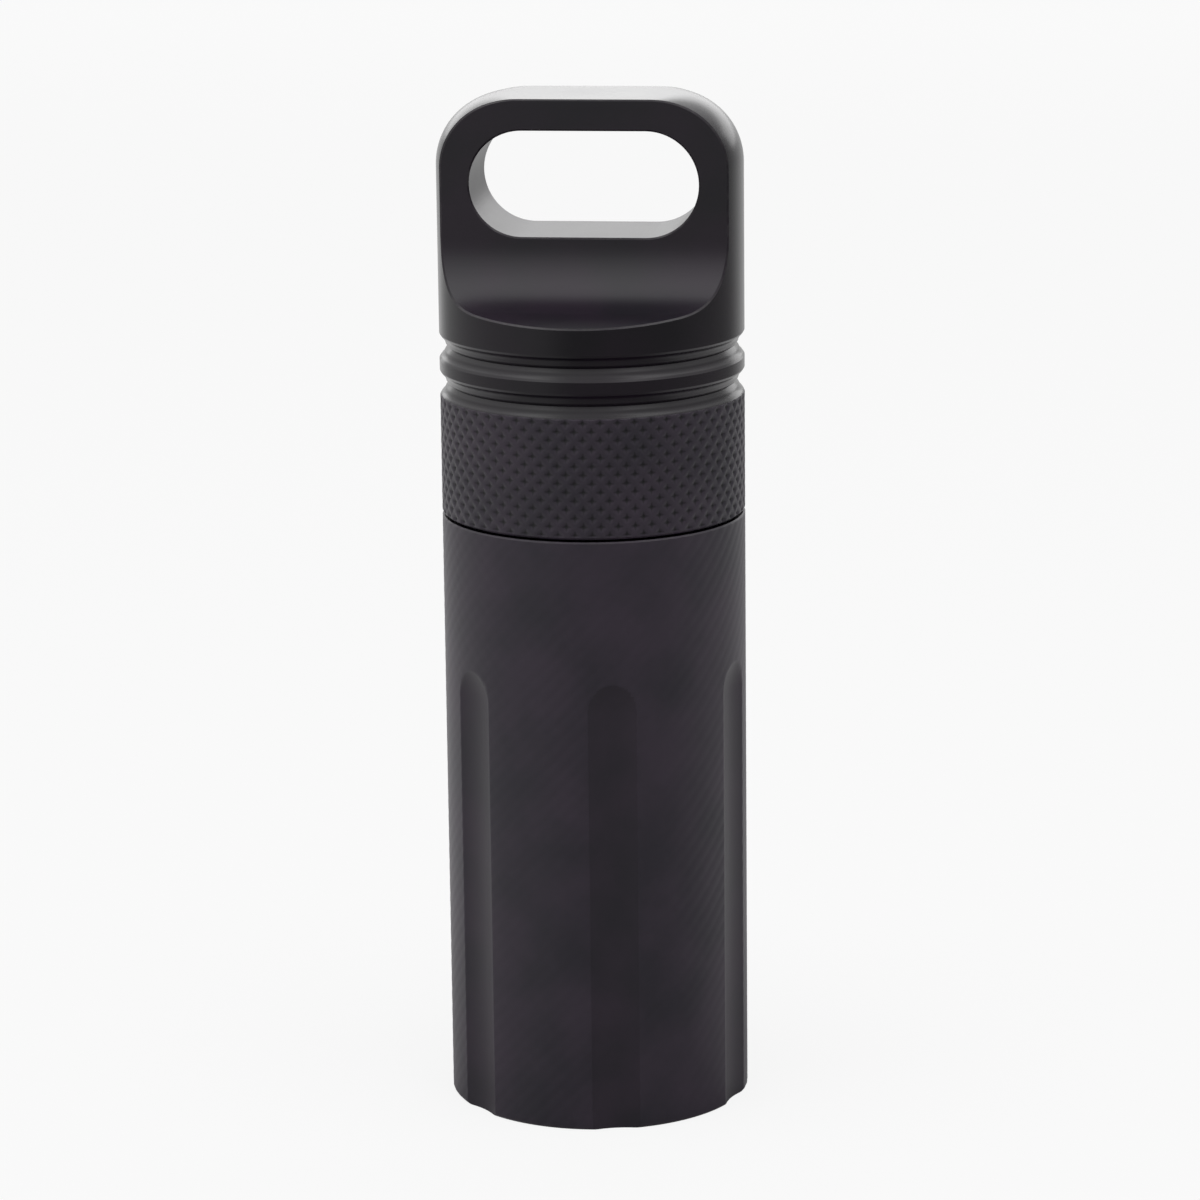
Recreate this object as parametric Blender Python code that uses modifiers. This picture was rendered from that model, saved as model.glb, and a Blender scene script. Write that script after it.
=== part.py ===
"""Waterproof capsule: a fluted aluminium tube with a threaded neck, and a screw cap with a carrying slot.

The tube stands upright, its axis on +Z and the tang's flat sides facing -Y and +Y. Metres throughout.
"""

import collections
import math

import bmesh
import bpy

# Tube, and the diameter that the cap's knurl and head share with it
CAPSULE_DIAMETER = 0.0302
TUBE_HEIGHT = 0.0600
BASE_CHAMFER = 0.0002
FLOOR_THICKNESS = 0.0030
NECK_WALL = 0.0012
RIM_CHAMFER = 0.0003

# Flutes, milled with a ball nose from the base upwards
FLUTE_COUNT = 6
FLUTE_WIDTH = 0.0049
FLUTE_DEPTH = 0.0006
FLUTE_HEIGHT = 0.04575
FIRST_FLUTE_ANGLE = math.radians(-77)

# Screw thread, right-handed. Its depth follows the pitch, as on a standard thread
THREAD_PITCH = 0.0020
THREAD_TURNS = 2.25
THREAD_DEPTH_SHARE = 0.45
THREAD_FLANK_ANGLE = math.radians(30)
THREAD_CLEARANCE = 0.0002
THREAD_RUNOUT = 0.0002
THREAD_START_ANGLE = math.radians(1.6)

# Seals: two O-rings on the neck and a flat disc in the roof of the cap
O_RING_SECTION = 0.0016
SEAL_GAP = 0.0002
LAND_WIDTH = 0.0007
LAND_STEP = 0.0002
SEAL_DISC_THICKNESS = 0.0015

# Cap, measured up from its lip
SEAM_GAP = 0.00035
FIT_GAP = 0.0003
CAP_WALL = 0.0010
BAND_HEIGHT = 0.01175
KNURL_STARTS = 56
KNURL_DEPTH = 0.00038
LIP_CHAMFER = 0.0003
GROOVE_WIDTH = 0.00235
GROOVE_DEPTH = 0.00065
RING_WIDTH = 0.00135
RING_CHAMFER = 0.0003
HEAD_HEIGHT = 0.02355
HEAD_CHAMFER = 0.0003

# Tang and its carrying slot
COLLAR_HEIGHT = 0.00275
TANG_THICKNESS = 0.0108
TANG_CORNER_RADIUS = 0.0068
BOWL_RADIUS = 0.0068
BOWL_FALL = math.radians(9)
SLOT_HEIGHT = 0.0097
SLOT_SIDE_WALL = 0.0042
SLOT_TOP_WALL = 0.0034
SLOT_CHAMFER = 0.0003

# Modelling
TUBE_SEGMENTS = 72
THREAD_SEGMENTS = 56
O_RING_SEGMENTS = (60, 8)
CORNER_SEGMENTS = 6
GROOVE_SEGMENTS = 4
BOWL_SEGMENTS = 14
SLOT_END_SEGMENTS = 12
FLUTE_SEGMENTS = 60
FLUTE_END_SEGMENTS = 15
OVERRUN = 0.0010
EMBED = 0.0003
MERGE_DISTANCE = 0.000001
ROW_TOLERANCE_SHARE = 0.01
SMOOTH_ANGLE = math.radians(32)

# Finishes
Finish = collections.namedtuple("Finish", "name colour roughness metallic")
BLACK_ANODISED = Finish("black_anodised", (0.018, 0.016, 0.018, 1.0), roughness=0.38, metallic=0.9)
BLACK_RUBBER = Finish("black_rubber", (0.012, 0.012, 0.012, 1.0), roughness=0.55, metallic=0.0)
PALE_SILICONE = Finish("pale_silicone", (0.55, 0.55, 0.53, 1.0), roughness=0.50, metallic=0.0)


def thread_depth():
    return THREAD_PITCH * THREAD_DEPTH_SHARE


def thread_base_half_width():
    """Half a tooth's width at its foot: half the pitch less the clearance, at mid depth, plus the flank."""
    middle_width = THREAD_PITCH / 2 - THREAD_CLEARANCE
    return (middle_width + thread_depth() * math.tan(THREAD_FLANK_ANGLE)) / 2


def capsule_radius():
    return CAPSULE_DIAMETER / 2


def knurl_floor_radius():
    return capsule_radius() - KNURL_DEPTH


def skirt_radius():
    """The smooth bore inside the cap's lip, which slides over the O-rings."""
    return knurl_floor_radius() - CAP_WALL


def o_ring_radius():
    """From the capsule's axis to the middle of an O-ring's section."""
    return skirt_radius() - SEAL_GAP - O_RING_SECTION / 2


def o_ring_groove_width():
    return O_RING_SECTION + 2 * SEAL_GAP


def o_ring_floor_radius():
    return o_ring_radius() - O_RING_SECTION / 2 - SEAL_GAP


def bore_radius():
    return o_ring_floor_radius() - NECK_WALL


def land_radius():
    """The plain lands beside the O-rings, which guide the cap's skirt."""
    return skirt_radius() - FIT_GAP


def neck_crest_radius():
    return land_radius() - LAND_STEP


def neck_root_radius():
    return neck_crest_radius() - thread_depth()


def cap_thread_crest_radius():
    return neck_root_radius() + THREAD_CLEARANCE


def cap_bore_radius():
    """The root of the cap's thread, which runs on up to the roof."""
    return neck_crest_radius() + THREAD_CLEARANCE


def upper_groove_height():
    return TUBE_HEIGHT + o_ring_groove_width() + LAND_WIDTH


def land_top():
    return upper_groove_height() + o_ring_groove_width() + LAND_WIDTH


def thread_floor():
    """The step inside the cap at which its thread begins."""
    return land_top() + FIT_GAP


def thread_start():
    """Height of the middle of the tooth at the lower end of each thread."""
    return thread_floor() + thread_base_half_width() + THREAD_RUNOUT


def rim_height():
    thread_end = thread_start() + THREAD_TURNS * THREAD_PITCH + thread_base_half_width()
    return thread_end + THREAD_RUNOUT + RIM_CHAMFER


def lip_height():
    return TUBE_HEIGHT + SEAM_GAP


def seal_disc_bottom():
    return rim_height() + FIT_GAP


def cap_roof():
    return seal_disc_bottom() + SEAL_DISC_THICKNESS + FIT_GAP


def ring_bottom():
    return lip_height() + BAND_HEIGHT + GROOVE_WIDTH


def head_bottom():
    return ring_bottom() + RING_WIDTH + GROOVE_WIDTH


def cap_top():
    return head_bottom() + HEAD_HEIGHT


def arc(centre, radius, start, end, count):
    """Points along an arc of (across, height), from one angle to the other, both ends included."""
    angles = [start + (end - start) * k / count for k in range(count + 1)]
    return [(centre[0] + radius * math.cos(a), centre[1] + radius * math.sin(a)) for a in angles]


def new_collection(name):
    collection = bpy.data.collections.new(name)
    bpy.context.scene.collection.children.link(collection)
    return collection


def add_object(name, mesh, collection, turn=0.0):
    obj = bpy.data.objects.new(name, mesh)
    obj.rotation_euler.z = turn
    collection.objects.link(obj)
    if collection.name == "cutters":
        obj.hide_render = True
        obj.display_type = "WIRE"
    return obj


def mesh_from(name, form):
    """Turns a bmesh into a named mesh with its faces pointing out."""
    bmesh.ops.recalc_face_normals(form, faces=form.faces)
    mesh = bpy.data.meshes.new(name)
    form.to_mesh(mesh)
    form.free()
    return mesh


def baked_mesh(obj):
    """The object's mesh with its modifiers applied. The object itself is removed."""
    graph = bpy.context.evaluated_depsgraph_get()
    mesh = bpy.data.meshes.new_from_object(obj.evaluated_get(graph))
    bpy.data.objects.remove(obj)
    return mesh


def turned(name, profile, segments, collection, turn=0.0):
    """Turns a profile of (radius, height) points about Z. The points run down the outer side."""
    mesh = bpy.data.meshes.new(name)
    edges = [(k, k + 1) for k in range(len(profile) - 1)]
    mesh.from_pydata([(radius, 0, height) for radius, height in profile], edges, [])
    obj = add_object(name, mesh, collection, turn)
    screw = obj.modifiers.new("Turn", "SCREW")
    screw.steps = screw.render_steps = segments
    screw.use_merge_vertices = True
    screw.merge_threshold = MERGE_DISTANCE
    return obj


def thread_ridge(name, foot_radius, crest_radius, turn, collection):
    """One helical tooth, from inside the wall at the foot radius out to the crest, with both ends closed."""
    outward = 1 if crest_radius > foot_radius else -1
    slope = math.tan(THREAD_FLANK_ANGLE)
    crest = thread_base_half_width() - thread_depth() * slope
    sunk = thread_base_half_width() + EMBED * slope
    corners = [(foot_radius - outward * EMBED, sunk), (crest_radius, crest)]
    corners += [(radius, -height) for radius, height in reversed(corners)]
    mesh = bpy.data.meshes.new(name)
    points = [(radius, 0, thread_start() + height) for radius, height in corners]
    mesh.from_pydata(points, [(k, (k + 1) % len(points)) for k in range(len(points))], [])
    obj = add_object(name, mesh, collection)
    screw = obj.modifiers.new("Helix", "SCREW")
    screw.angle = math.tau * THREAD_TURNS
    screw.screw_offset = THREAD_PITCH * THREAD_TURNS
    screw.steps = screw.render_steps = round(THREAD_SEGMENTS * THREAD_TURNS)
    form = bmesh.new()
    form.from_mesh(baked_mesh(obj))
    bmesh.ops.holes_fill(form, edges=[edge for edge in form.edges if edge.is_boundary])
    return add_object(name, mesh_from(name, form), collection, turn + THREAD_START_ANGLE)


def extruded(name, outline, half_length, collection, turn=0.0):
    """A prism along X with a given outline of (y, z) points."""
    form = bmesh.new()
    face = form.faces.new([form.verts.new((-half_length, y, z)) for y, z in outline])
    copy = bmesh.ops.extrude_face_region(form, geom=[face])["geom"]
    moved = [item for item in copy if isinstance(item, bmesh.types.BMVert)]
    bmesh.ops.translate(form, vec=(2 * half_length, 0, 0), verts=moved)
    return add_object(name, mesh_from(name, form), collection, turn)


def lofted(name, rings, collection):
    """A solid skinned over closed rings of equally many points, with its first and last ring filled."""
    form = bmesh.new()
    rows = [[form.verts.new(point) for point in ring] for ring in rings]
    for low, high in zip(rows, rows[1:]):
        for k in range(len(low)):
            following = (k + 1) % len(low)
            form.faces.new((low[k], low[following], high[following], high[k]))
    form.faces.new(rows[0])
    form.faces.new(rows[-1])
    return add_object(name, mesh_from(name, form), collection)


def combine(obj, other, operation):
    boolean = obj.modifiers.new(other.name, "BOOLEAN")
    boolean.operation = operation
    boolean.solver = "EXACT"
    boolean.object = other


def finish_surface(obj, material):
    obj.data.materials.append(material)
    obj.data.shade_smooth()
    obj.data.set_sharp_from_angle(angle=SMOOTH_ANGLE)


def make_material(finish):
    material = bpy.data.materials.new(finish.name)
    material.use_nodes = True
    shader = material.node_tree.nodes["Principled BSDF"]
    shader.inputs["Base Color"].default_value = finish.colour
    shader.inputs["Roughness"].default_value = finish.roughness
    shader.inputs["Metallic"].default_value = finish.metallic
    material.diffuse_color = finish.colour
    return material


def flute_cutter(number, collection):
    """A round-ended bar whose side leaves a flute of the stated width and depth in the tube's wall."""
    outer = capsule_radius()
    floor = outer - FLUTE_DEPTH
    mouth = math.sqrt(outer**2 - (FLUTE_WIDTH / 2) ** 2)
    centre = (outer**2 - floor**2) / (2 * (mouth - floor))
    radius = centre - floor
    nose_rise = math.sqrt(radius**2 - (centre - outer) ** 2)
    nose_height = FLUTE_HEIGHT - nose_rise
    profile = arc((0, nose_height), radius, math.pi / 2, 0, FLUTE_END_SEGMENTS)
    profile += [(radius, -OVERRUN), (0, -OVERRUN)]
    profile[0] = (0, nose_height + radius)
    cutter = turned(f"flute_cutter_{number}", profile, FLUTE_SEGMENTS, collection)
    angle = FIRST_FLUTE_ANGLE + math.tau * number / FLUTE_COUNT
    cutter.location = (centre * math.cos(angle), centre * math.sin(angle), 0)
    cutter.rotation_euler.z = angle
    return cutter


def body_tube(parts, cutters):
    """The drilled and fluted tube with its shoulder, two O-ring grooves, thread and rim."""
    outer = capsule_radius()
    groove = o_ring_groove_width()
    profile = [
        (0, FLOOR_THICKNESS),
        (bore_radius(), FLOOR_THICKNESS),
        (bore_radius(), rim_height()),
        (neck_root_radius() - RIM_CHAMFER, rim_height()),
        (neck_root_radius(), rim_height() - RIM_CHAMFER),
        (neck_root_radius(), land_top()),
        (land_radius(), land_top()),
        (land_radius(), upper_groove_height() + groove),
        (o_ring_floor_radius(), upper_groove_height() + groove),
        (o_ring_floor_radius(), upper_groove_height()),
        (land_radius(), upper_groove_height()),
        (land_radius(), TUBE_HEIGHT + groove),
        (o_ring_floor_radius(), TUBE_HEIGHT + groove),
        (o_ring_floor_radius(), TUBE_HEIGHT),
        (outer, TUBE_HEIGHT),
        (outer, BASE_CHAMFER),
        (outer - BASE_CHAMFER, 0),
        (0, 0),
    ]
    tube = turned("body_tube", profile, TUBE_SEGMENTS, parts)
    half_turn = math.pi
    ridge = thread_ridge("neck_thread", neck_root_radius(), neck_crest_radius(), half_turn, cutters)
    combine(tube, ridge, "UNION")
    for number in range(FLUTE_COUNT):
        combine(tube, flute_cutter(number, cutters), "DIFFERENCE")
    return tube


def o_ring(name, groove_height, parts):
    """A rubber ring of round section, lying in the neck's groove at the given height."""
    around, across = O_RING_SEGMENTS
    middle = groove_height + SEAL_GAP + O_RING_SECTION / 2
    section = arc((o_ring_radius(), middle), O_RING_SECTION / 2, math.pi / 2, -1.5 * math.pi, across)
    section[-1] = section[0]
    return turned(name, section, around, parts)


def seal_disc(parts):
    """The flat seal in the cap's roof, which the neck's rim presses on."""
    radius = cap_bore_radius() - FIT_GAP
    top = seal_disc_bottom() + SEAL_DISC_THICKNESS
    profile = [(0, top), (radius, top), (radius, seal_disc_bottom()), (0, seal_disc_bottom())]
    return turned("seal_disc", profile, TUBE_SEGMENTS, parts)


def groove_outline(bottom):
    """A round-bottomed groove in the cap's side, from its upper edge to its lower one."""
    half = GROOVE_WIDTH / 2
    radius = (half**2 + GROOVE_DEPTH**2) / (2 * GROOVE_DEPTH)
    swing = math.asin(half / radius)
    centre = (capsule_radius() - GROOVE_DEPTH + radius, bottom + half)
    return arc(centre, radius, math.pi - swing, math.pi + swing, GROOVE_SEGMENTS)


def knurl_heights():
    """Heights of the knurl's rows from the lip up, spaced like its columns, so its diamonds are square."""
    spacing = math.pi * capsule_radius() / KNURL_STARTS
    rows = max(2, round((BAND_HEIGHT - LIP_CHAMFER) / spacing))
    bottom = lip_height() + LIP_CHAMFER
    return [bottom + (BAND_HEIGHT - LIP_CHAMFER) * k / rows for k in range(rows + 1)]


def cap_profile():
    """The cap's outline: down the outer side from the top, round the lip and up inside to the roof."""
    corner = (capsule_radius() - TANG_CORNER_RADIUS, cap_top() - TANG_CORNER_RADIUS)
    profile = [(0, cap_top())]
    profile += arc(corner, TANG_CORNER_RADIUS, math.pi / 2, 0, CORNER_SEGMENTS)
    profile += [(capsule_radius(), head_bottom() + HEAD_CHAMFER)]
    profile += groove_outline(ring_bottom() + RING_WIDTH)[:-1]
    profile += [(capsule_radius(), ring_bottom() + RING_WIDTH - RING_CHAMFER)]
    profile += [(capsule_radius(), ring_bottom() + RING_CHAMFER)]
    profile += groove_outline(ring_bottom() - GROOVE_WIDTH)[1:]
    profile += [(knurl_floor_radius(), height) for height in reversed(knurl_heights()[:-1])]
    profile += [
        (knurl_floor_radius() - LIP_CHAMFER, lip_height()),
        (skirt_radius(), lip_height()),
        (skirt_radius(), thread_floor()),
        (cap_bore_radius(), thread_floor()),
        (cap_bore_radius(), cap_roof()),
        (0, cap_roof()),
    ]
    return profile


def press_knurl(mesh):
    """Raises every second point of the band's grid, so that its faces fold into four-sided diamonds."""
    heights = knurl_heights()
    spacing = heights[1] - heights[0]
    column_angle = math.pi / KNURL_STARTS
    raised = capsule_radius() / knurl_floor_radius()
    form = bmesh.new()
    form.from_mesh(mesh)
    outside = skirt_radius() + CAP_WALL / 2
    peaks, valleys = set(), set()
    for vert in form.verts:
        row = (vert.co.z - heights[0]) / spacing
        on_grid = abs(row - round(row)) < ROW_TOLERANCE_SHARE and 0 <= round(row) < len(heights)
        if not on_grid or vert.co.xy.length < outside:
            continue
        column = round(math.atan2(vert.co.y, vert.co.x) / column_angle)
        is_peak = (round(row) + column) % 2 == 1
        (peaks if is_peak else valleys).add(vert)
        if is_peak and 0 < round(row) < len(heights) - 1:
            vert.co.x *= raised
            vert.co.y *= raised
    for face in list(form.faces):
        ends = [vert for vert in face.verts if vert in valleys]
        if len(ends) == 2 and all(vert in peaks or vert in valleys for vert in face.verts):
            bmesh.utils.face_split(face, *ends)
    form.to_mesh(mesh)
    form.free()


def side_cutter(number, collection):
    """Cuts one side of the head to the tang's flat face, whose hollow foot falls a little to the rim."""
    flat = TANG_THICKNESS / 2
    rim = head_bottom() + COLLAR_HEIGHT
    reach = flat + BOWL_RADIUS
    rise = (capsule_radius() - reach + BOWL_RADIUS * math.sin(BOWL_FALL)) * math.tan(BOWL_FALL)
    centre = (reach, rim + rise + BOWL_RADIUS * math.cos(BOWL_FALL))
    top = max(cap_top(), centre[1]) + OVERRUN
    beyond = capsule_radius() + OVERRUN
    outline = arc(centre, BOWL_RADIUS, math.pi, 1.5 * math.pi - BOWL_FALL, BOWL_SEGMENTS)
    outline += [(beyond, rim - OVERRUN * math.tan(BOWL_FALL)), (beyond, top), (flat, top)]
    return extruded(f"side_cutter_{number}", outline, beyond, collection, math.pi * number)


def slot_ring(y, spread):
    """The slot's round-ended outline at one depth, grown all round by spread."""
    radius = SLOT_HEIGHT / 2 + spread
    reach = capsule_radius() - SLOT_SIDE_WALL - SLOT_HEIGHT / 2
    height = cap_top() - SLOT_TOP_WALL - SLOT_HEIGHT / 2
    right = arc((reach, height), radius, -math.pi / 2, math.pi / 2, SLOT_END_SEGMENTS)
    left = arc((-reach, height), radius, math.pi / 2, 1.5 * math.pi, SLOT_END_SEGMENTS)
    return [(x, y, z) for x, z in right + left]


def slot_cutter(collection):
    """The carrying slot, right through the tang, with a chamfer at each face."""
    inner = TANG_THICKNESS / 2 - SLOT_CHAMFER
    outer = TANG_THICKNESS / 2 + OVERRUN
    beyond = capsule_radius() + OVERRUN
    spread = outer - inner
    rings = [
        slot_ring(-beyond, spread),
        slot_ring(-outer, spread),
        slot_ring(-inner, 0),
        slot_ring(inner, 0),
        slot_ring(outer, spread),
        slot_ring(beyond, spread),
    ]
    return lofted("slot_cutter", rings, collection)


def screw_cap(parts, cutters):
    """The cap with its knurled band, two turned grooves, inner thread, and slotted tang."""
    blank = turned("cap_blank", cap_profile(), 2 * KNURL_STARTS, parts)
    mesh = baked_mesh(blank)
    mesh.name = "screw_cap"
    press_knurl(mesh)
    cap = add_object("screw_cap", mesh, parts)
    for number in range(2):
        combine(cap, side_cutter(number, cutters), "DIFFERENCE")
    combine(cap, slot_cutter(cutters), "DIFFERENCE")
    ridge = thread_ridge("cap_thread", cap_bore_radius(), cap_thread_crest_radius(), 0, cutters)
    combine(cap, ridge, "UNION")
    return cap


def main():
    for obj in list(bpy.data.objects):
        bpy.data.objects.remove(obj)
    parts = new_collection("waterproof_capsule")
    cutters = new_collection("cutters")
    anodised = make_material(BLACK_ANODISED)
    rubber = make_material(BLACK_RUBBER)
    silicone = make_material(PALE_SILICONE)
    finish_surface(body_tube(parts, cutters), anodised)
    finish_surface(o_ring("lower_o_ring", TUBE_HEIGHT, parts), rubber)
    finish_surface(o_ring("upper_o_ring", upper_groove_height(), parts), rubber)
    finish_surface(seal_disc(parts), silicone)
    finish_surface(screw_cap(parts, cutters), anodised)


main()
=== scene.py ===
"""Looks of the waterproof capsule: detailed pieces, finishes, stage, light and camera.

Sizes in the classes are in millimetres; a mesh turns them to metres when it is made.
"""
from __future__ import annotations

import logging
import math
from dataclasses import dataclass, field
from enum import Enum

import bmesh
import bpy
import numpy as np
from mathutils import Matrix, Vector


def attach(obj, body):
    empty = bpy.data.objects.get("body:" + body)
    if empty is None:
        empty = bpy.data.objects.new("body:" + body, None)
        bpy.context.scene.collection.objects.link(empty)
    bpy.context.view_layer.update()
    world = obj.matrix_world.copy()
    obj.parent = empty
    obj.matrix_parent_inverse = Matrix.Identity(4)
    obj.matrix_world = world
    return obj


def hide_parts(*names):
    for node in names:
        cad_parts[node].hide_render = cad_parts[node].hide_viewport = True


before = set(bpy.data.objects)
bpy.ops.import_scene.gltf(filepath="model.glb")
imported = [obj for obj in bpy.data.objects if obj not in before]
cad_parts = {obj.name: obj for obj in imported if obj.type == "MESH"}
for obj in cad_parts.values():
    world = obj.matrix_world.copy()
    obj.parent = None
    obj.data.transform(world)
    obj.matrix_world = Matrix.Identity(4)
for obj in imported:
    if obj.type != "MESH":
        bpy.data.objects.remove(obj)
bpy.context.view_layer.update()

LOG = logging.getLogger("capsule")
MM = 0.001
UNWRAP_NAME = "OFBake"
WELD = 0.000002
SHARP_ANGLE = math.radians(27)
PROUD_ANGLE = math.radians(40)
# How far the surface folds in round a knurl pit before its painted shade sets in, and where it is full.
PIT_SHADE_ANGLES = (math.radians(25), math.radians(80))
# Attribute: rubbed wear above 0 on broken edges and proud points, painted shade below 0 in the knurl's
# pits.
WEAR_AND_PIT_SHADE = "rubbed"

Chart = tuple[float, float, float, float]
Pair = tuple[float, float]
Profile = list[Pair]
Colour = tuple[float, float, float]


TUBE_CHARTS: dict[str, Chart] = {
    "outside": (0.0, 0.0, 1.0, 0.60), "foot_edge": (0.0, 0.61, 0.5, 0.02),
    "foot": (0.52, 0.61, 0.14, 0.14), "shoulder": (0.68, 0.61, 0.16, 0.16),
    "neck": (0.0, 0.64, 0.5, 0.10), "thread": (0.0, 0.78, 0.5, 0.2),
    "bore": (0.52, 0.78, 0.48, 0.22), "floor": (0.86, 0.61, 0.1, 0.1)}
CAP_CHARTS: dict[str, Chart] = {
    "band": (0.0, 0.0, 1.0, 0.22), "head": (0.0, 0.23, 0.8, 0.26),
    "top": (0.86, 0.23, 0.13, 0.13), "head_foot": (0.86, 0.37, 0.13, 0.13),
    "front_bowl": (0.0, 0.62, 0.24, 0.36), "back_bowl": (0.27, 0.62, 0.24, 0.36),
    "slot": (0.54, 0.62, 0.3, 0.36),
    "front_rim": (0.86, 0.62, 0.13, 0.08), "back_rim": (0.86, 0.71, 0.13, 0.08),
    "front_slot": (0.86, 0.80, 0.13, 0.08), "back_slot": (0.86, 0.89, 0.13, 0.08),
    "roof": (0.81, 0.23, 0.045, 0.045), "roof_edge": (0.81, 0.29, 0.045, 0.20),
    "thread": (0.0, 0.50, 0.8, 0.11), "skirt": (0.81, 0.50, 0.18, 0.05),
    "lip": (0.81, 0.555, 0.06, 0.06), "throat": (0.88, 0.555, 0.06, 0.06)}
RING_CHART: Chart = (0.0, 0.0, 1.0, 1.0)
SEAL_CHARTS: dict[str, Chart] = {
    "rim": (0.0, 0.0, 1.0, 0.7), "foot": (0.0, 0.72, 0.28, 0.28), "top": (0.3, 0.72, 0.28, 0.28)}


class Region(Enum):
    """How a stretch of a piece's surface was made, in the order of its material slots.

    On the tube the rolled skin counts as knurled and the flutes as milled.
    """

    TURNED = 0
    KNURLED = 1
    MILLED = 2
    EDGE = 3


class Marks(Enum):
    """The direction in which a tool left its fine marks."""

    ROUND = "round"
    ACROSS = "across"
    UPRIGHT = "upright"
    NONE = "none"


class Value:
    """A number that varies over a surface: one socket, with sums written as Python."""

    def __init__(self, graph: Graph, socket: bpy.types.NodeSocket) -> None:
        """Wraps the output socket of a node in the given graph."""
        self.graph = graph
        self.socket = socket

    def maths(self, operation: str, first: Value | float, second: Value | float = 0.0) -> Value:
        """Adds one Math node.

        Args:
            operation: the Math node's operation.
            first: its first number or value.
            second: its second number or value.

        Returns:
            The value that the node gives.
        """
        node = self.graph.node("Math", {"operation": operation}, {0: first, 1: second})
        return Value(self.graph, node.outputs[0])

    def __add__(self, other: Value | float) -> Value:
        """The sum of two values."""
        return self.maths("ADD", self, other)

    __radd__ = __add__

    def __mul__(self, other: Value | float) -> Value:
        """The product of two values."""
        return self.maths("MULTIPLY", self, other)

    __rmul__ = __mul__

    def __sub__(self, other: Value | float) -> Value:
        """This value less another."""
        return self.maths("SUBTRACT", self, other)

    def __rsub__(self, other: Value | float) -> Value:
        """Another value less this one."""
        return self.maths("SUBTRACT", other, self)

    def __pow__(self, power: float) -> Value:
        """This value raised to a power."""
        return self.maths("POWER", self, power)

    def within(self, low: float, high: float) -> Value:
        """Spreads the range from low to high over 0 to 1 and holds it there.

        Args:
            low: what becomes 0.
            high: what becomes 1.

        Returns:
            The spread value.
        """
        spread = self.graph.node("MapRange", {"interpolation_type": "SMOOTHSTEP"},
                                 {"Value": self, "From Min": low, "From Max": high})
        return Value(self.graph, spread.outputs["Result"])


class Graph:
    """The nodes of one material, world or light."""

    def __init__(self, tree: bpy.types.NodeTree) -> None:
        """Empties the node tree and keeps it."""
        self.tree = tree
        tree.nodes.clear()

    def node(self, kind: str, settings: dict | None = None,
             inputs: dict | None = None) -> bpy.types.Node:
        """Adds any shader node.

        Args:
            kind: the node's type, without its ShaderNode prefix.
            settings: its settings, which are set first.
            inputs: what each socket gets, by name or number: a number, a colour, a value or a socket.

        Returns:
            The node.
        """
        node = self.tree.nodes.new("ShaderNode" + kind)
        for name, setting in (settings or {}).items():
            setattr(node, name, setting)
        for name, given in (inputs or {}).items():
            given = given.socket if isinstance(given, Value) else given
            if isinstance(given, bpy.types.NodeSocket):
                self.tree.links.new(given, node.inputs[name])
            else:
                node.inputs[name].default_value = given
        return node

    def value(self, kind: str, settings: dict | None = None, inputs: dict | None = None,
              output: str | int = 0) -> Value:
        """Adds a node and takes one of its outputs as a value.

        Args:
            kind: the node's type.
            settings: its settings.
            inputs: its sockets.
            output: the name or number of the output that is taken.

        Returns:
            The value of that output.
        """
        return Value(self, self.node(kind, settings, inputs).outputs[output])

    def millimetres(self) -> bpy.types.NodeSocket:
        """The place on the piece in millimetres, which moves with the piece.

        Returns:
            The place, as a vector.
        """
        place = self.node("TexCoord").outputs["Object"]
        scaled = self.node("VectorMath", {"operation": "SCALE"}, {0: place, "Scale": 1 / MM})
        return scaled.outputs[0]

    def noise(self, place: bpy.types.NodeSocket, scale: float, detail: float = 2.0,
              roughness: float = 0.5) -> Value:
        """Cloudy noise from 0 to 1.

        Args:
            place: where it is read.
            scale: features to a millimetre.
            detail: how many finer layers it has.
            roughness: how strong the finer layers are.

        Returns:
            The noise.
        """
        return self.value("TexNoise", None, {
            "Vector": place, "Scale": scale, "Detail": detail, "Roughness": roughness})

    def parts(self, vector: bpy.types.NodeSocket) -> tuple[Value, ...]:
        """The three parts of a vector."""
        split = self.node("SeparateXYZ", None, {0: vector})
        return tuple(Value(self, output) for output in split.outputs)

    def direction(self, place: bpy.types.NodeSocket) -> tuple[Value, ...]:
        """The three parts of the direction from the origin to a place."""
        return self.parts(self.node("VectorMath", {"operation": "NORMALIZE"}, {0: place}).outputs[0])

    def rays(self) -> tuple[Value, ...]:
        """Whether a ray comes from the camera, from a gloss and from a clear body.

        Returns:
            Three values of 0 or 1.
        """
        paths = self.node("LightPath")
        kinds = ("Camera", "Glossy", "Transmission")
        return tuple(Value(self, paths.outputs[f"Is {kind} Ray"]) for kind in kinds)

    def mixed_colour(self, share: Value, low: Colour | bpy.types.NodeSocket,
                     high: Colour) -> bpy.types.NodeSocket:
        """A colour between two, by share."""
        low = low if isinstance(low, bpy.types.NodeSocket) else (*low, 1.0)
        return self.node("Mix", {"data_type": "RGBA"}, {0: share, 6: low, 7: (*high, 1.0)}).outputs[2]

    def surface(self, colour: bpy.types.NodeSocket, rough: Value, reflectance: float,
                height: Value) -> None:
        """Gives the material its surface.

        Args:
            colour: its colour.
            rough: its roughness.
            reflectance: its specular level.
            height: its fine relief, in millimetres.
        """
        bump = self.node("Bump", None, {"Height": height, "Strength": 1.0, "Distance": MM})
        shader = self.node("BsdfPrincipled", None, {
            "Base Color": colour, "Roughness": rough, "Metallic": 0.0,
            "Specular IOR Level": reflectance, "Normal": bump.outputs[0]})
        self.node("OutputMaterial", None, {0: shader.outputs[0]})


def new_material(name: str) -> tuple[bpy.types.Material, Graph]:
    """A material without nodes, and its graph.

    Args:
        name: The material's name.

    Returns:
        The material, and the graph of its nodes.
    """
    material = bpy.data.materials.new(name)
    material.use_nodes = True
    return material, Graph(material.node_tree)


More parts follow.
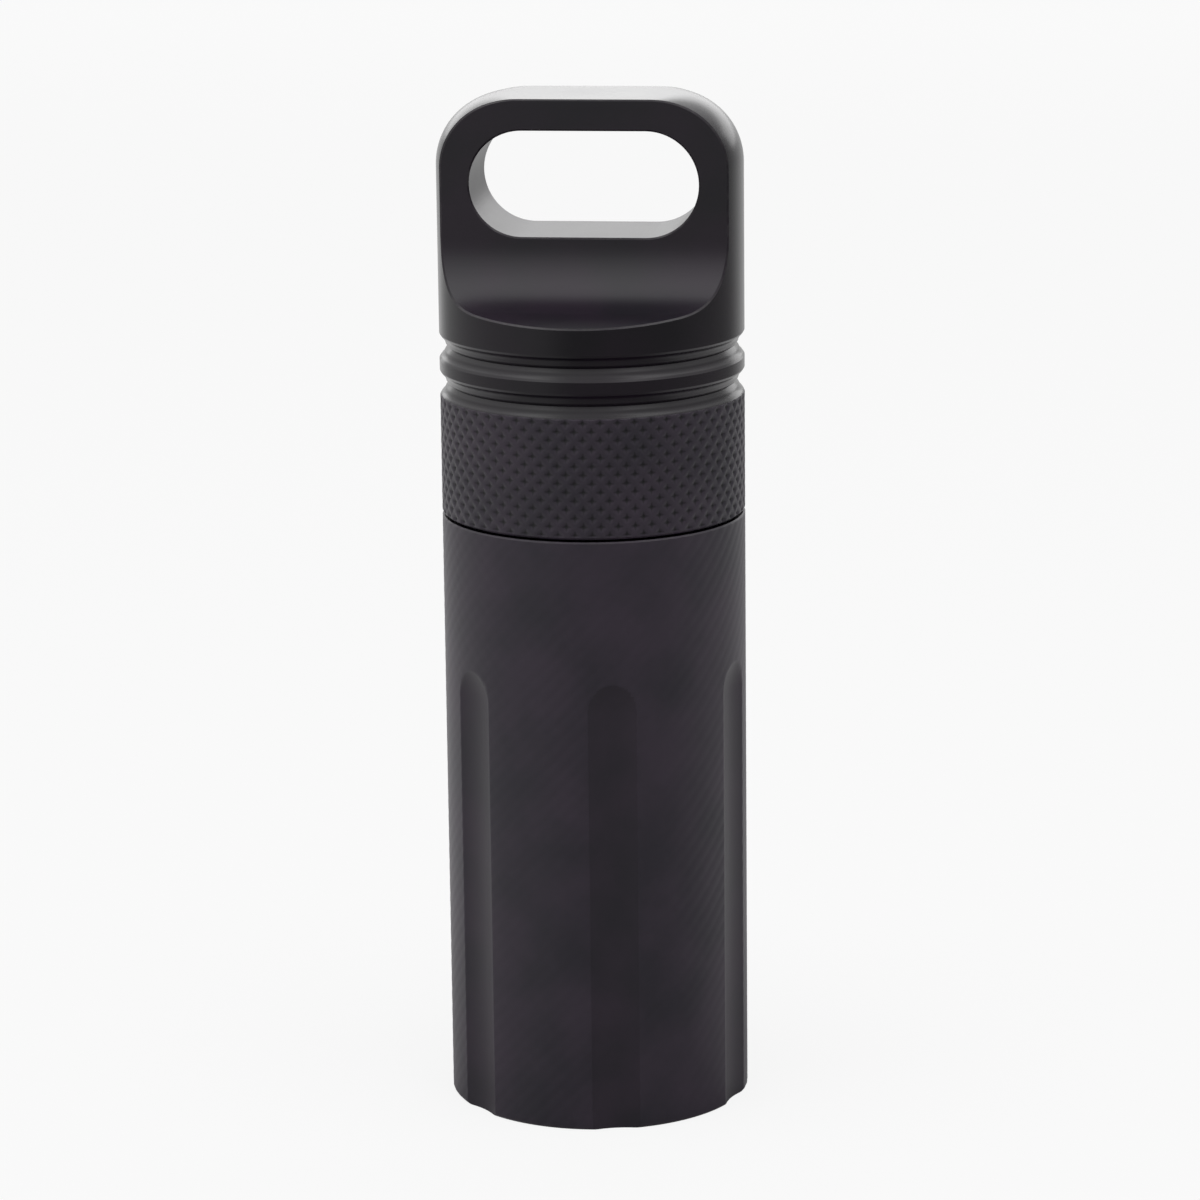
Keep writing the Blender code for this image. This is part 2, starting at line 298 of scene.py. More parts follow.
def add_object(name: str, data: bpy.types.ID) -> bpy.types.Object:
    """Puts a mesh, lamp or camera into the scene.

    Args:
        name: The object's name.
        data: What the object shows.

    Returns:
        The object.
    """
    thing = bpy.data.objects.new(name, data)
    bpy.context.scene.collection.objects.link(thing)
    return thing


@dataclass(frozen=True)
class Anodised:
    """Black anodised aluminium, with the fine marks of the tool that cut it."""

    name: str
    marks: Marks
    mark_pitch: float = 0.09
    mark_depth: float = 0.0015
    grain_depth: float = 0.0022
    roughness: float = 0.36
    reflectance: float = 0.40
    dark: Colour = (0.0060, 0.0046, 0.0086)
    light: Colour = (0.0125, 0.0062, 0.0145)
    worn: Colour = (0.045, 0.040, 0.044)
    # Painted shade: the colour towards which the knurl's pits are darkened.
    pit_shade: Colour = (0.0022, 0.0017, 0.0030)
    wear: float = 0.45
    wear_scale: float = 1.1
    wear_spread: Pair = (0.35, 0.75)
    cloud_scale: float = 0.13
    cloud_spread: Pair = (0.25, 0.75)
    grain_scale: float = 6.5
    mark_stretch: float = 0.02
    rough_cloud: float = 0.04
    rough_grain: float = 0.06
    rough_worn: float = 0.08

    def tool_marks(self, graph: Graph, place: bpy.types.NodeSocket) -> Value:
        """The tool's fine lines.

        Args:
            graph: the material's nodes.
            place: the place in millimetres.

        Returns:
            Their height from 0 to 1.
        """
        x, y, z = graph.parts(place)
        fine = 1 / self.mark_pitch
        coarse = self.mark_stretch
        if self.marks is Marks.ROUND:
            radius = (x * x + y * y) ** 0.5
            lines = (radius * fine, z * fine, 0.0)
        elif self.marks is Marks.ACROSS:
            lines = (x * coarse, y * fine, z * fine)
        else:
            lines = (x * fine, y * fine, z * coarse)
        joined = graph.node("CombineXYZ", None, dict(enumerate(lines)))
        return graph.noise(joined.outputs[0], 1.0, 1.0)

    def material(self) -> bpy.types.Material:
        """Makes the finish.

        Returns:
            The material.
        """
        material, graph = new_material(self.name)
        place = graph.millimetres()
        cloud = graph.noise(place, self.cloud_scale, 3.0)
        grain = graph.noise(place, self.grain_scale, 3.0, 0.6)
        # The attribute holds rubbed wear above 0 and painted shade in the knurl's pits below 0.
        edge = graph.value("Attribute", {"attribute_name": WEAR_AND_PIT_SHADE}, None, "Fac")
        patches = graph.noise(place, self.wear_scale, 4.0, 0.7).within(*self.wear_spread)
        rubbed = edge.within(0, 1) * patches * self.wear
        dyed = graph.mixed_colour(cloud.within(*self.cloud_spread), self.dark, self.light)
        # Painted shade: the knurl's pits are darkened towards the pit shade colour.
        deep = graph.mixed_colour(edge.within(0, -1), dyed, self.pit_shade)
        colour = graph.mixed_colour(rubbed, deep, self.worn)
        rough = self.roughness - self.rough_cloud + grain * self.rough_grain
        rough = rough + cloud * self.rough_cloud - rubbed * self.rough_worn
        height = grain * self.grain_depth
        if self.marks is not Marks.NONE:
            height = height + self.tool_marks(graph, place) * self.mark_depth
        graph.surface(colour, rough, self.reflectance, height)
        return material


@dataclass(frozen=True)
class Elastomer:
    """A rubber or silicone, with a moulded skin and a little bloom."""

    name: str
    dark: Colour
    light: Colour
    roughness: float
    reflectance: float = 0.45
    bloom: float = 0.1
    grain_depth: float = 0.004
    grain_scale: float = 3.5
    cloud_scale: float = 0.35
    cloud_spread: Pair = (0.3, 0.7)

    def material(self) -> bpy.types.Material:
        """Makes the finish.

        Returns:
            The material.
        """
        material, graph = new_material(self.name)
        place = graph.millimetres()
        cloud = graph.noise(place, self.cloud_scale, 4.0, 0.6)
        grain = graph.noise(place, self.grain_scale, 4.0, 0.6)
        colour = graph.mixed_colour(cloud.within(*self.cloud_spread), self.dark, self.light)
        rough = self.roughness - self.bloom / 2 + cloud * self.bloom
        graph.surface(colour, rough, self.reflectance, grain * self.grain_depth)
        return material


TURNED_BLACK = Anodised("turned_black", Marks.ROUND, roughness=0.22,
                        dark=(0.0040, 0.0030, 0.0056), light=(0.0082, 0.0042, 0.0094))
KNURLED_BLACK = Anodised("knurled_black", Marks.NONE, grain_depth=0.003, roughness=0.44,
                         dark=(0.0230, 0.0195, 0.0290), light=(0.0400, 0.0290, 0.0450))
MILLED_BLACK = Anodised("milled_black", Marks.ACROSS, roughness=0.34, reflectance=0.62)
FLUTED_BLACK = Anodised("fluted_black", Marks.UPRIGHT, roughness=0.44,
                        dark=(0.0190, 0.0160, 0.0235), light=(0.0310, 0.0215, 0.0345))
EDGE_BLACK = Anodised("edge_black", Marks.NONE, roughness=0.30, wear=0.8)
CAP_FINISHES = [TURNED_BLACK, KNURLED_BLACK, MILLED_BLACK, EDGE_BLACK]
TUBE_FINISHES = [TURNED_BLACK, KNURLED_BLACK, FLUTED_BLACK, EDGE_BLACK]
BLACK_RUBBER = Elastomer("black_rubber", dark=(0.010, 0.010, 0.010), light=(0.016, 0.016, 0.016),
                         roughness=0.5)
PALE_SILICONE = Elastomer("pale_silicone", dark=(0.50, 0.50, 0.48), light=(0.60, 0.60, 0.58),
                          roughness=0.48)


def arc(centre: Pair, radius: float, start: float, end: float, count: int) -> Profile:
    """Points along an arc.

    Args:
        centre: its centre, across and up.
        radius: its radius.
        start: the angle of its first point, in degrees.
        end: the angle of its last point.
        count: how many steps it has.

    Returns:
        The points, both ends included.
    """
    angles = np.radians(np.linspace(start, end, count + 1))
    return [(centre[0] + radius * math.cos(a), centre[1] + radius * math.sin(a)) for a in angles]


def even_angles(columns: int, shift: float = 0.0) -> np.ndarray:
    """Angles of evenly spaced columns round the axis, moved on by a share of a column."""
    return (np.arange(columns) + shift) * math.tau / columns


def round_the_axis(radii: np.ndarray, heights: np.ndarray, angles: np.ndarray) -> np.ndarray:
    """Places rows of points round the axis.

    Args:
        radii: the radius of each point, by row and column.
        heights: the height of each row.
        angles: the angle of each column.

    Returns:
        The points, by row and column.
    """
    tall = np.broadcast_to(np.asarray(heights)[:, None], radii.shape)
    return np.stack([radii * np.cos(angles), radii * np.sin(angles), tall], axis=-1)


def turn(profile: Profile, angles: np.ndarray) -> np.ndarray:
    """Turns a profile of radius and height about the axis.

    Args:
        profile: its points.
        angles: the angle of each column.

    Returns:
        The points, by row and column.
    """
    radii, heights = np.array(profile).T
    return round_the_axis(np.repeat(radii[:, None], len(angles), axis=1), heights, angles)


def unit(vectors: np.ndarray) -> np.ndarray:
    """The vectors at length one."""
    return vectors / np.linalg.norm(vectors, axis=-1, keepdims=True)


def boxes(left: np.ndarray, right: np.ndarray, low: np.ndarray, high: np.ndarray) -> np.ndarray:
    """The corners of boxes in the unwrap, from their left, right, lower and upper sides."""
    corners = (left, low), (right, low), (right, high), (left, high)
    return np.stack([np.stack(corner, 1) for corner in corners], axis=1)


@dataclass
class Shell:
    """Gathers grids, fans and stitches into one mesh with its regions and its unwrap."""

    points: list[np.ndarray] = field(default_factory=list)
    faces: list[list[int]] = field(default_factory=list)
    unwrap: list[np.ndarray] = field(default_factory=list)
    regions: list[np.ndarray] = field(default_factory=list)
    count: int = 0

    def add(self, points: np.ndarray, faces: np.ndarray, unwrap: np.ndarray, region: Region) -> None:
        """Adds faces of one region.

        Args:
            points: their points.
            faces: each face's corners, as numbers of those points.
            unwrap: the place of each corner in the unwrap.
            region: how they were made.
        """
        self.points.append(points.reshape(-1, 3))
        self.faces.extend((faces + self.count).tolist())
        self.unwrap.append(unwrap.reshape(-1, 2))
        self.regions.append(np.full(len(faces), region.value))
        self.count += points.reshape(-1, 3).shape[0]

    def grid(self, points: np.ndarray, region: Region, chart: Chart,
             rising: np.ndarray | None = None) -> None:
        """Adds a closed band of rows and columns.

        Args:
            points: the points, by row and column.
            region: how it was made.
            chart: its corner and size in the unwrap.
            rising: by row and column, whether a face folds along its rising diagonal; none keeps quads.
        """
        rows, columns = points.shape[:2]
        row, column = (index.ravel() for index in np.mgrid[0:rows - 1, 0:columns])
        after = (column + 1) % columns
        corners = np.stack([row * columns + column, row * columns + after,
                            (row + 1) * columns + after, (row + 1) * columns + column], axis=1)
        steps = np.linalg.norm(np.diff(points, axis=0), axis=2).mean(axis=1)
        along = np.concatenate([[0.0], np.cumsum(steps)])
        along = chart[1] + chart[3] * along / along[-1]
        left, right = (chart[0] + chart[2] * (column + k) / columns for k in (0, 1))
        low, high = along[row], along[row + 1]
        places = boxes(left, right, low, high)
        if rising is None:
            self.add(points, corners, places, region)
            return
        order = np.where(rising.ravel()[:, None], [[0, 1, 2, 0, 2, 3]], [[1, 2, 3, 1, 3, 0]])
        folded = np.take_along_axis(corners, order, axis=1).reshape(-1, 3)
        spread = np.take_along_axis(places, order[:, :, None], axis=1).reshape(-1, 3, 2)
        self.add(points, folded, spread, region)

    def bar(self, rings: np.ndarray, spread: np.ndarray, chart: Chart) -> None:
        """Adds a closed milled bar between two copies of an outline.

        Args:
            rings: the outline's points at both ends.
            spread: the share of the chart's width at each point, and at the first one again.
            chart: the corner and size of its sides in the unwrap.
        """
        count = rings.shape[1]
        here = np.arange(count)
        after = (here + 1) % count
        faces = np.stack([here, after, after + count, here + count], axis=1)
        across = chart[0] + chart[2] * spread
        low, high = np.full(count, chart[1]), np.full(count, chart[1] + chart[3])
        self.add(rings.reshape(-1, 3), faces, boxes(across[:-1], across[1:], low, high), Region.MILLED)
        self.faces.extend(np.array([here, here + count]).tolist())
        self.unwrap.append(np.zeros((2 * count, 2)))
        self.regions.append(np.full(2, Region.MILLED.value))

    def flat(self, points: np.ndarray, chart: Chart, reach: float) -> np.ndarray:
        """Lays points of a level face out in the unwrap by their place seen from above."""
        middle = np.array([chart[0] + chart[2] / 2, chart[1] + chart[3] / 2])
        return middle + points[..., :2] / reach * np.array([chart[2], chart[3]]) / 2

    def fan(self, ring: np.ndarray, region: Region, chart: Chart) -> None:
        """Fills a ring with triangles to its middle.

        Args:
            ring: its points in order.
            region: how it was made.
            chart: its corner and size in the unwrap.
        """
        count = len(ring)
        points = np.vstack([ring, ring.mean(axis=0, keepdims=True)])
        here = np.arange(count)
        faces = np.stack([here, (here + 1) % count, np.full(count, count)], axis=1)
        reach = np.linalg.norm(ring[:, :2], axis=1).max()
        self.add(points, faces, self.flat(points[faces], chart, reach), region)

    def stitch(self, first: np.ndarray, second: np.ndarray, region: Region, chart: Chart) -> None:
        """Joins two rings round the axis that have different numbers of points.

        Args:
            first: the first ring's points in order of angle.
            second: the second ring's.
            region: how it was made.
            chart: its corner and size in the unwrap.
        """
        def turned_to(ring: np.ndarray) -> np.ndarray:
            """The ring's angles from its first point on, and once round."""
            angles = np.unwrap(np.arctan2(ring[:, 1], ring[:, 0]))
            return np.append(angles, angles[0] + math.tau)

        a, b = turned_to(first), turned_to(second)
        b = b - math.tau * round((b[0] - a[0]) / math.tau)
        faces, i, j = [], 0, 0
        while i < len(first) or j < len(second):
            here, there = i % len(first), len(first) + j % len(second)
            if j >= len(second) or (i < len(first) and a[i + 1] <= b[j + 1]):
                faces.append((here, (i + 1) % len(first), there))
                i += 1
            else:
                faces.append((here, len(first) + (j + 1) % len(second), there))
                j += 1
        points = np.vstack([first, second])
        faces = np.array(faces)
        reach = np.linalg.norm(points[:, :2], axis=1).max()
        self.add(points, faces, self.flat(points[faces], chart, reach), region)

    def mesh(self, name: str) -> bpy.types.Mesh:
        """Makes the welded mesh in metres, with its faces pointing out.

        Args:
            name: the mesh's name.

        Returns:
            The mesh.
        """
        mesh = bpy.data.meshes.new(name)
        mesh.from_pydata(np.vstack(self.points) * MM, [], self.faces)
        mesh.polygons.foreach_set("material_index", np.concatenate(self.regions).astype(np.int32))
        layer = mesh.uv_layers.new(name=UNWRAP_NAME)
        layer.uv.foreach_set("vector", np.vstack(self.unwrap).astype(np.float32).ravel())
        form = bmesh.new()
        form.from_mesh(mesh)
        bmesh.ops.remove_doubles(form, verts=form.verts, dist=WELD)
        bmesh.ops.recalc_face_normals(form, faces=form.faces)
        form.to_mesh(mesh)
        form.free()
        return mesh


def shade(mesh: bpy.types.Mesh) -> None:
    """Smooths a mesh between its sharp edges, and marks where it is rubbed and where shade is painted.

    An edge is sharp where the surface turns sharply or a broken edge begins. The rubbed places
    are the broken edges and, on knurled stretches, the points that stand proud. The pits where
    two grooves of the knurl cross get the opposite mark, which paints shade into them.

    Args:
        mesh: The mesh, changed in place.
    """
    form = bmesh.new()
    form.from_mesh(mesh)
    rubbed = form.loops.layers.float.new(WEAR_AND_PIT_SHADE)
    proud = dict.fromkeys(form.verts, 0.0)
    sunk = dict.fromkeys(form.verts, 0.0)
    pit_span = PIT_SHADE_ANGLES[1] - PIT_SHADE_ANGLES[0]
    for edge in (edge for edge in form.edges if len(edge.link_faces) == 2):
        one, other = edge.link_faces
        turn_by = edge.calc_face_angle_signed()
        edge.smooth = abs(turn_by) < SHARP_ANGLE
        if Region.EDGE.value in (one.material_index, other.material_index):
            edge.smooth = one.material_index == other.material_index
        for vert in edge.verts:
            proud[vert] = max(proud[vert], turn_by)
            sunk[vert] -= min(turn_by, 0)
    for face in form.faces:
        face.smooth = True
        for loop in face.loops:
            if face.material_index == Region.EDGE.value:
                loop[rubbed] = 1.0
            elif face.material_index == Region.KNURLED.value:
                # Painted shade: the more the surface folds in round a knurl pit, the darker it is
                # painted.
                pit_shade = min(max((sunk[loop.vert] - PIT_SHADE_ANGLES[0]) / pit_span, 0), 1)
                loop[rubbed] = min(proud[loop.vert] / PROUD_ANGLE, 1.0) - pit_shade
    form.to_mesh(mesh)
    form.free()


def wear(mesh: bpy.types.Mesh, finishes: list[Anodised | Elastomer]) -> None:
    """Gives a mesh its materials, in the order of its regions, and keeps which face has which.

    Args:
        mesh: The mesh, changed in place.
        finishes: A finish for each region.
    """
    kinds = np.empty(len(mesh.polygons), np.int32)
    mesh.polygons.foreach_get("material_index", kinds)
    for finish in finishes:
        mesh.materials.append(bpy.data.materials.get(finish.name) or finish.material())
    mesh.polygons.foreach_set("material_index", kinds)


def add_piece(name: str, mesh: bpy.types.Mesh, finishes: list[Anodised | Elastomer], body: str,
              node: str) -> bpy.types.Object:
    """Smooths a mesh and adds it as the piece that stands for a CAD node.

    Args:
        name: its name.
        mesh: its mesh.
        finishes: its materials, in the order of its regions.
        body: the body it moves with.
        node: the CAD node it replaces.

    Returns:
        The piece.
    """
    shade(mesh)
    piece = add_object(name, mesh)
    if not mesh.materials:
        wear(mesh, finishes)
    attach(piece, body)
    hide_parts(node)
    LOG.info("%s: %d faces, rides on %s", name, len(mesh.polygons), body)
    return piece


@dataclass(frozen=True)
class ScrewThread:
    """One helical tooth, as a height over a smooth wall."""

    start: float = 66.56
    pitch: float = 2.0
    turns: float = 2.25
    depth: float = 0.9
    foot: float = 0.66
    crest: float = 0.14
    run_out: float = 0.35
    step: float = 0.0625

    def rows(self) -> np.ndarray:
        """The heights of the rows that carry the tooth."""
        top = self.start + self.turns * self.pitch + self.foot
        return np.arange(self.start - self.foot - self.step, top + 2 * self.step, self.step)

    def height(self, angles: np.ndarray, heights: np.ndarray, first: float) -> np.ndarray:
        """How far the tooth stands off the wall.

        Args:
            angles: the angle of each column.
            heights: the height of each row.
            first: the angle at which the tooth starts, in degrees.

        Returns:
            The height by row and column.
        """
        tooth = np.zeros((len(heights), len(angles)))
        whole = self.turns * math.tau
        for lap in range(math.ceil(self.turns) + 1):
            along = np.mod(angles - math.radians(first), math.tau) + lap * math.tau
            off = np.abs(heights[:, None] - self.start - self.pitch * along / math.tau)
            rise = np.clip((self.foot - off) / (self.foot - self.crest), 0, 1)
            fade = np.clip(np.minimum(along, whole - along) / self.run_out, 0, 1)
            tooth = np.maximum(tooth, rise * np.sin(fade * math.pi / 2))
        return tooth * self.depth


@dataclass
class FlutedTube:
    """The tube: base, six flutes, faint cross-rolled skin, neck, thread and bore."""

    radius: float = 15.1
    height: float = 60.0
    base_chamfer: float = 0.2
    shoulder_chamfer: float = 0.15
    flute_count: int = 6
    first_flute: float = -77.0
    flute_width: float = 4.9
    flute_depth: float = 0.6
    flute_tip: float = 45.75
    edge_softness: float = 0.05
    skin_starts: int = 56
    skin_rise: float = 1.7
    skin_depth: float = 0.026
    cross_depth: float = 0.009
    skin_phase: float = 60.65
    skin_share: float = 0.7
    skin_sway: float = 0.15
    sway_lean: Pair = (0.11, -0.17)
    edge_columns: tuple[float, ...] = (-0.3, -0.14, -0.06, -0.02, 0.02, 0.06, 0.14, 0.3)
    flute_columns: int = 15
    land_columns: int = 36
    low_rows: int = 138
    nose_rows: int = 14
    tip_rows: int = 16
    skin_rows: int = 6
    nose_reach: float = 1.0
    tip_reach: Pair = (0.8, 0.25)
    neck_columns: int = 128
    floor: float = 3.0
    bore: float = 10.52
    rim: float = 72.22
    land: float = 13.42
    groove_floor: float = 11.72
    groove_width: float = 2.0
    land_width: float = 0.7
    thread_root: float = 12.32
    land_chamfer: float = 0.12
    rim_chamfer: float = 0.3
    mouth_chamfer: float = 0.25
    floor_round: float = 0.6
    bore_start: float = 2.0
    bore_rows: int = 8
    floor_rows: Pair = (5.26, 1.0)
    foot_share: float = 0.8
    wall_slack: float = 0.06
    wall_flare: float = 4.0
    thread: ScrewThread = ScrewThread()
    thread_angle: float = 181.6

    @property
    def flute_centre(self) -> float:
        """From the tube's axis to the axis of the round cutter that leaves a flute.

        Returns:
            The distance in millimetres.
        """
        mouth = math.sqrt(self.radius**2 - (self.flute_width / 2)**2)
        floor = self.radius - self.flute_depth
        return (self.radius**2 - floor**2) / (2 * (mouth - floor))

    @property
    def flute_radius(self) -> float:
        """The cutter's radius."""
        return self.flute_centre - self.radius + self.flute_depth

    @property
    def flute_straight(self) -> float:
        """The height at which a flute's round end begins."""
        return self.flute_tip - math.sqrt(self.flute_radius**2 - (self.flute_centre - self.radius)**2)

    def columns(self) -> np.ndarray:
        """Angles of the columns, closest at the edges of the flutes.

        Returns:
            The angles, once round.
        """
        reach = (self.flute_centre**2 + self.radius**2 - self.flute_radius**2)
        half = math.acos(reach / (2 * self.flute_centre * self.radius))
        near = np.array(self.edge_columns) / self.radius
        inside = np.linspace(-half - near[0], half + near[0], self.flute_columns)[1:-1]
        sector = math.tau / self.flute_count
        land = np.linspace(half + near[-1], sector - half - near[-1], self.land_columns)[1:-1]
        local = np.concatenate([-half - near[::-1], inside, half + near, land])
        starts = math.radians(self.first_flute) + sector * np.arange(self.flute_count)
        return np.sort(np.concatenate([start + local for start in starts]))

    def rows(self) -> np.ndarray:
        """Heights of the rows up the outside, closest round the ends of the flutes.

        Returns:
            The heights, from the base up.
        """
        spacing = self.skin_rise / self.skin_rows
        start, below, over = (self.flute_straight - self.nose_reach, self.flute_tip - self.tip_reach[0],
                              self.flute_tip + self.tip_reach[1])
        low = np.linspace(self.base_chamfer, start, self.low_rows)
        nose = np.linspace(start, below, self.nose_rows)[1:-1]
        tip = np.linspace(below, over, self.tip_rows)
        high = np.arange(over + spacing, self.height - self.shoulder_chamfer, spacing)
        ends = [self.height - self.shoulder_chamfer, self.height]
        return np.concatenate([[0.0, self.base_chamfer / 2], low, nose, tip, high, ends])

    def skin(self, angles: np.ndarray, heights: np.ndarray) -> np.ndarray:
        """The depth of the faint helical rolling, which leans to the right as it rises.

        Args:
            angles: the angle of each column.
            heights: the height of each row.

        Returns:
            The depth by row and column.
        """
        round_share = angles[None, :] * self.skin_starts / math.tau
        rise_share = (heights[:, None] - self.skin_phase) / self.skin_rise
        main = 0.5 + 0.5 * np.cos(math.tau * (round_share - rise_share))
        cross = 0.5 + 0.5 * np.cos(math.tau * (round_share + rise_share))
        lean, counter = self.sway_lean
        sway = np.sin(2 * angles[None, :] + lean * heights[:, None]) + np.sin(
            3 * angles[None, :] + counter * heights[:, None] + 1.0)
        pressed = self.skin_share + self.skin_sway * sway
        return pressed * (self.skin_depth * main**2 + self.cross_depth * cross**2)

    def flute(self, angles: np.ndarray, heights: np.ndarray) -> np.ndarray:
        """The radius at which the nearest flute's wall lies, and far out where there is none.

        Args:
            angles: the angle of each column.
            heights: the height of each row.

        Returns:
            The radius by row and column.
        """
        sector = math.tau / self.flute_count
        turn_by = angles - math.radians(self.first_flute)
        off = (turn_by + sector / 2) % sector - sector / 2
        above = np.clip(heights - self.flute_straight, 0, self.flute_radius)[:, None]
        width = np.sqrt(np.maximum(self.flute_radius**2 - above**2, 0))
        side = self.flute_centre * np.sin(off)[None, :]
        inside = width**2 - side**2
        near = self.flute_centre * np.cos(off)[None, :] - np.sqrt(np.maximum(inside, 0))
        far = near + self.wall_flare * np.sqrt(np.maximum(-inside, 0))
        beyond = heights[:, None] > self.flute_straight + self.flute_radius
        return np.where(beyond, 2 * self.radius, far)

    def outside(self, angles: np.ndarray, heights: np.ndarray) -> np.ndarray:
        """The outer radius, with skin, flutes and chamfers.

        Args:
            angles: the angle of each column.
            heights: the height of each row.

        Returns:
            The radius by row and column.
        """
        body = self.radius - self.skin(angles, heights)
        flute = self.flute(angles, heights)
        blend = np.clip(self.edge_softness - np.abs(body - flute), 0, None) / self.edge_softness
        met = np.minimum(body, flute) - blend**2 * self.edge_softness / 4
        foot = self.radius - self.base_chamfer + heights
        shoulder = self.radius - self.shoulder_chamfer + (self.height - heights)
        return np.minimum(met, np.minimum(foot, shoulder)[:, None])

    def neck_profile(self) -> tuple[Profile, Profile]:
        """The neck below its thread, and the rim, bore and floor above it.

        Returns:
            Both profiles, in the order up the outside and down the bore.
        """
        cut = self.land_chamfer
        lower: Profile = [(self.land, self.height), (self.groove_floor, self.height)]
        foot = self.height
        for _ in range(2):
            top = foot + self.groove_width
            lower += [(self.groove_floor, top), (self.land - cut, top), (self.land, top + cut)]
            lower += [(self.land, top + self.land_width - cut), (self.land - cut, top + self.land_width)]
            foot = top + self.land_width
            lower += [(self.groove_floor, foot)] if foot < self.height + 2 * self.groove_width else []
        lower += [(self.thread_root, foot)]
        cut, mouth, bend = self.rim_chamfer, self.mouth_chamfer, self.floor_round
        upper = [(self.thread_root, self.rim - cut), (self.thread_root - cut, self.rim),
                 (self.bore + mouth, self.rim), (self.bore, self.rim - mouth)]
        start, end = self.rim - self.bore_start, self.floor + bend
        upper += [(self.bore, height) for height in np.linspace(start, end, self.bore_rows)]
        upper += arc((self.bore - bend, self.floor + bend), bend, 0, -90, 6)[1:]
        upper += [(across, self.floor) for across in self.floor_rows]
        return lower, upper

    def build(self) -> bpy.types.Object:
        """Builds and dresses the tube.

        Returns:
            The piece.
        """
        shell = Shell()
        angles, heights = self.columns(), self.rows()
        radii = self.outside(angles, heights)
        outer = round_the_axis(radii, heights, angles)
        rising = np.ones((len(heights) - 1, len(angles)), bool)
        shell.grid(outer, Region.KNURLED, TUBE_CHARTS["outside"], rising)
        inner_foot = outer[0] * np.array([self.foot_share, self.foot_share, 1.0])
        shell.grid(np.stack([inner_foot, outer[0]]), Region.TURNED, TUBE_CHARTS["foot_edge"])
        shell.fan(inner_foot[::-1], Region.TURNED, TUBE_CHARTS["foot"])

        around = even_angles(self.neck_columns)
        lower, upper = self.neck_profile()
        neck = turn(lower, around)
        shell.stitch(outer[-1], neck[0], Region.TURNED, TUBE_CHARTS["shoulder"])
        shell.grid(neck, Region.TURNED, TUBE_CHARTS["neck"])
        turns = self.thread.rows()
        wall = self.thread_root + self.thread.height(around, turns, self.thread_angle)
        thread = round_the_axis(wall, turns, around)
        shell.grid(np.concatenate([neck[-1:], thread]), Region.TURNED, TUBE_CHARTS["thread"])
        top = turn(upper, around)
        shell.grid(np.concatenate([thread[-1:], top]), Region.TURNED, TUBE_CHARTS["bore"])
        shell.fan(top[-1], Region.TURNED, TUBE_CHARTS["floor"])
        mesh = shell.mesh("fluted_tube")
        self.regions(mesh)
        return add_piece("fluted_tube", mesh, TUBE_FINISHES, "tube", "body_tube")

    def regions(self, mesh: bpy.types.Mesh) -> None:
        """Tells the milled faces of the flutes from the rolled skin.

        Args:
            mesh: The tube's mesh, changed in place.
        """
        centres = np.empty(len(mesh.polygons) * 3)
        mesh.polygons.foreach_get("center", centres)
        centres = centres.reshape(-1, 3) / MM
        kinds = np.empty(len(mesh.polygons), np.int32)
        mesh.polygons.foreach_get("material_index", kinds)
        angle = np.arctan2(centres[:, 1], centres[:, 0])
        radius = np.hypot(centres[:, 0], centres[:, 1])
        sunk = self.radius - radius > self.skin_depth + self.cross_depth
        sector = math.tau / self.flute_count
        off = (angle - math.radians(self.first_flute) + sector / 2) % sector - sector / 2
        above = np.maximum(centres[:, 2] - self.flute_straight, 0)
        inward = self.flute_centre - radius * np.cos(off)
        gap = np.sqrt(inward**2 + (radius * np.sin(off))**2 + above**2)
        milled = (kinds == Region.KNURLED.value) & (gap < self.flute_radius + self.wall_slack) & sunk
        kinds[milled] = Region.MILLED.value
        mesh.polygons.foreach_set("material_index", kinds)


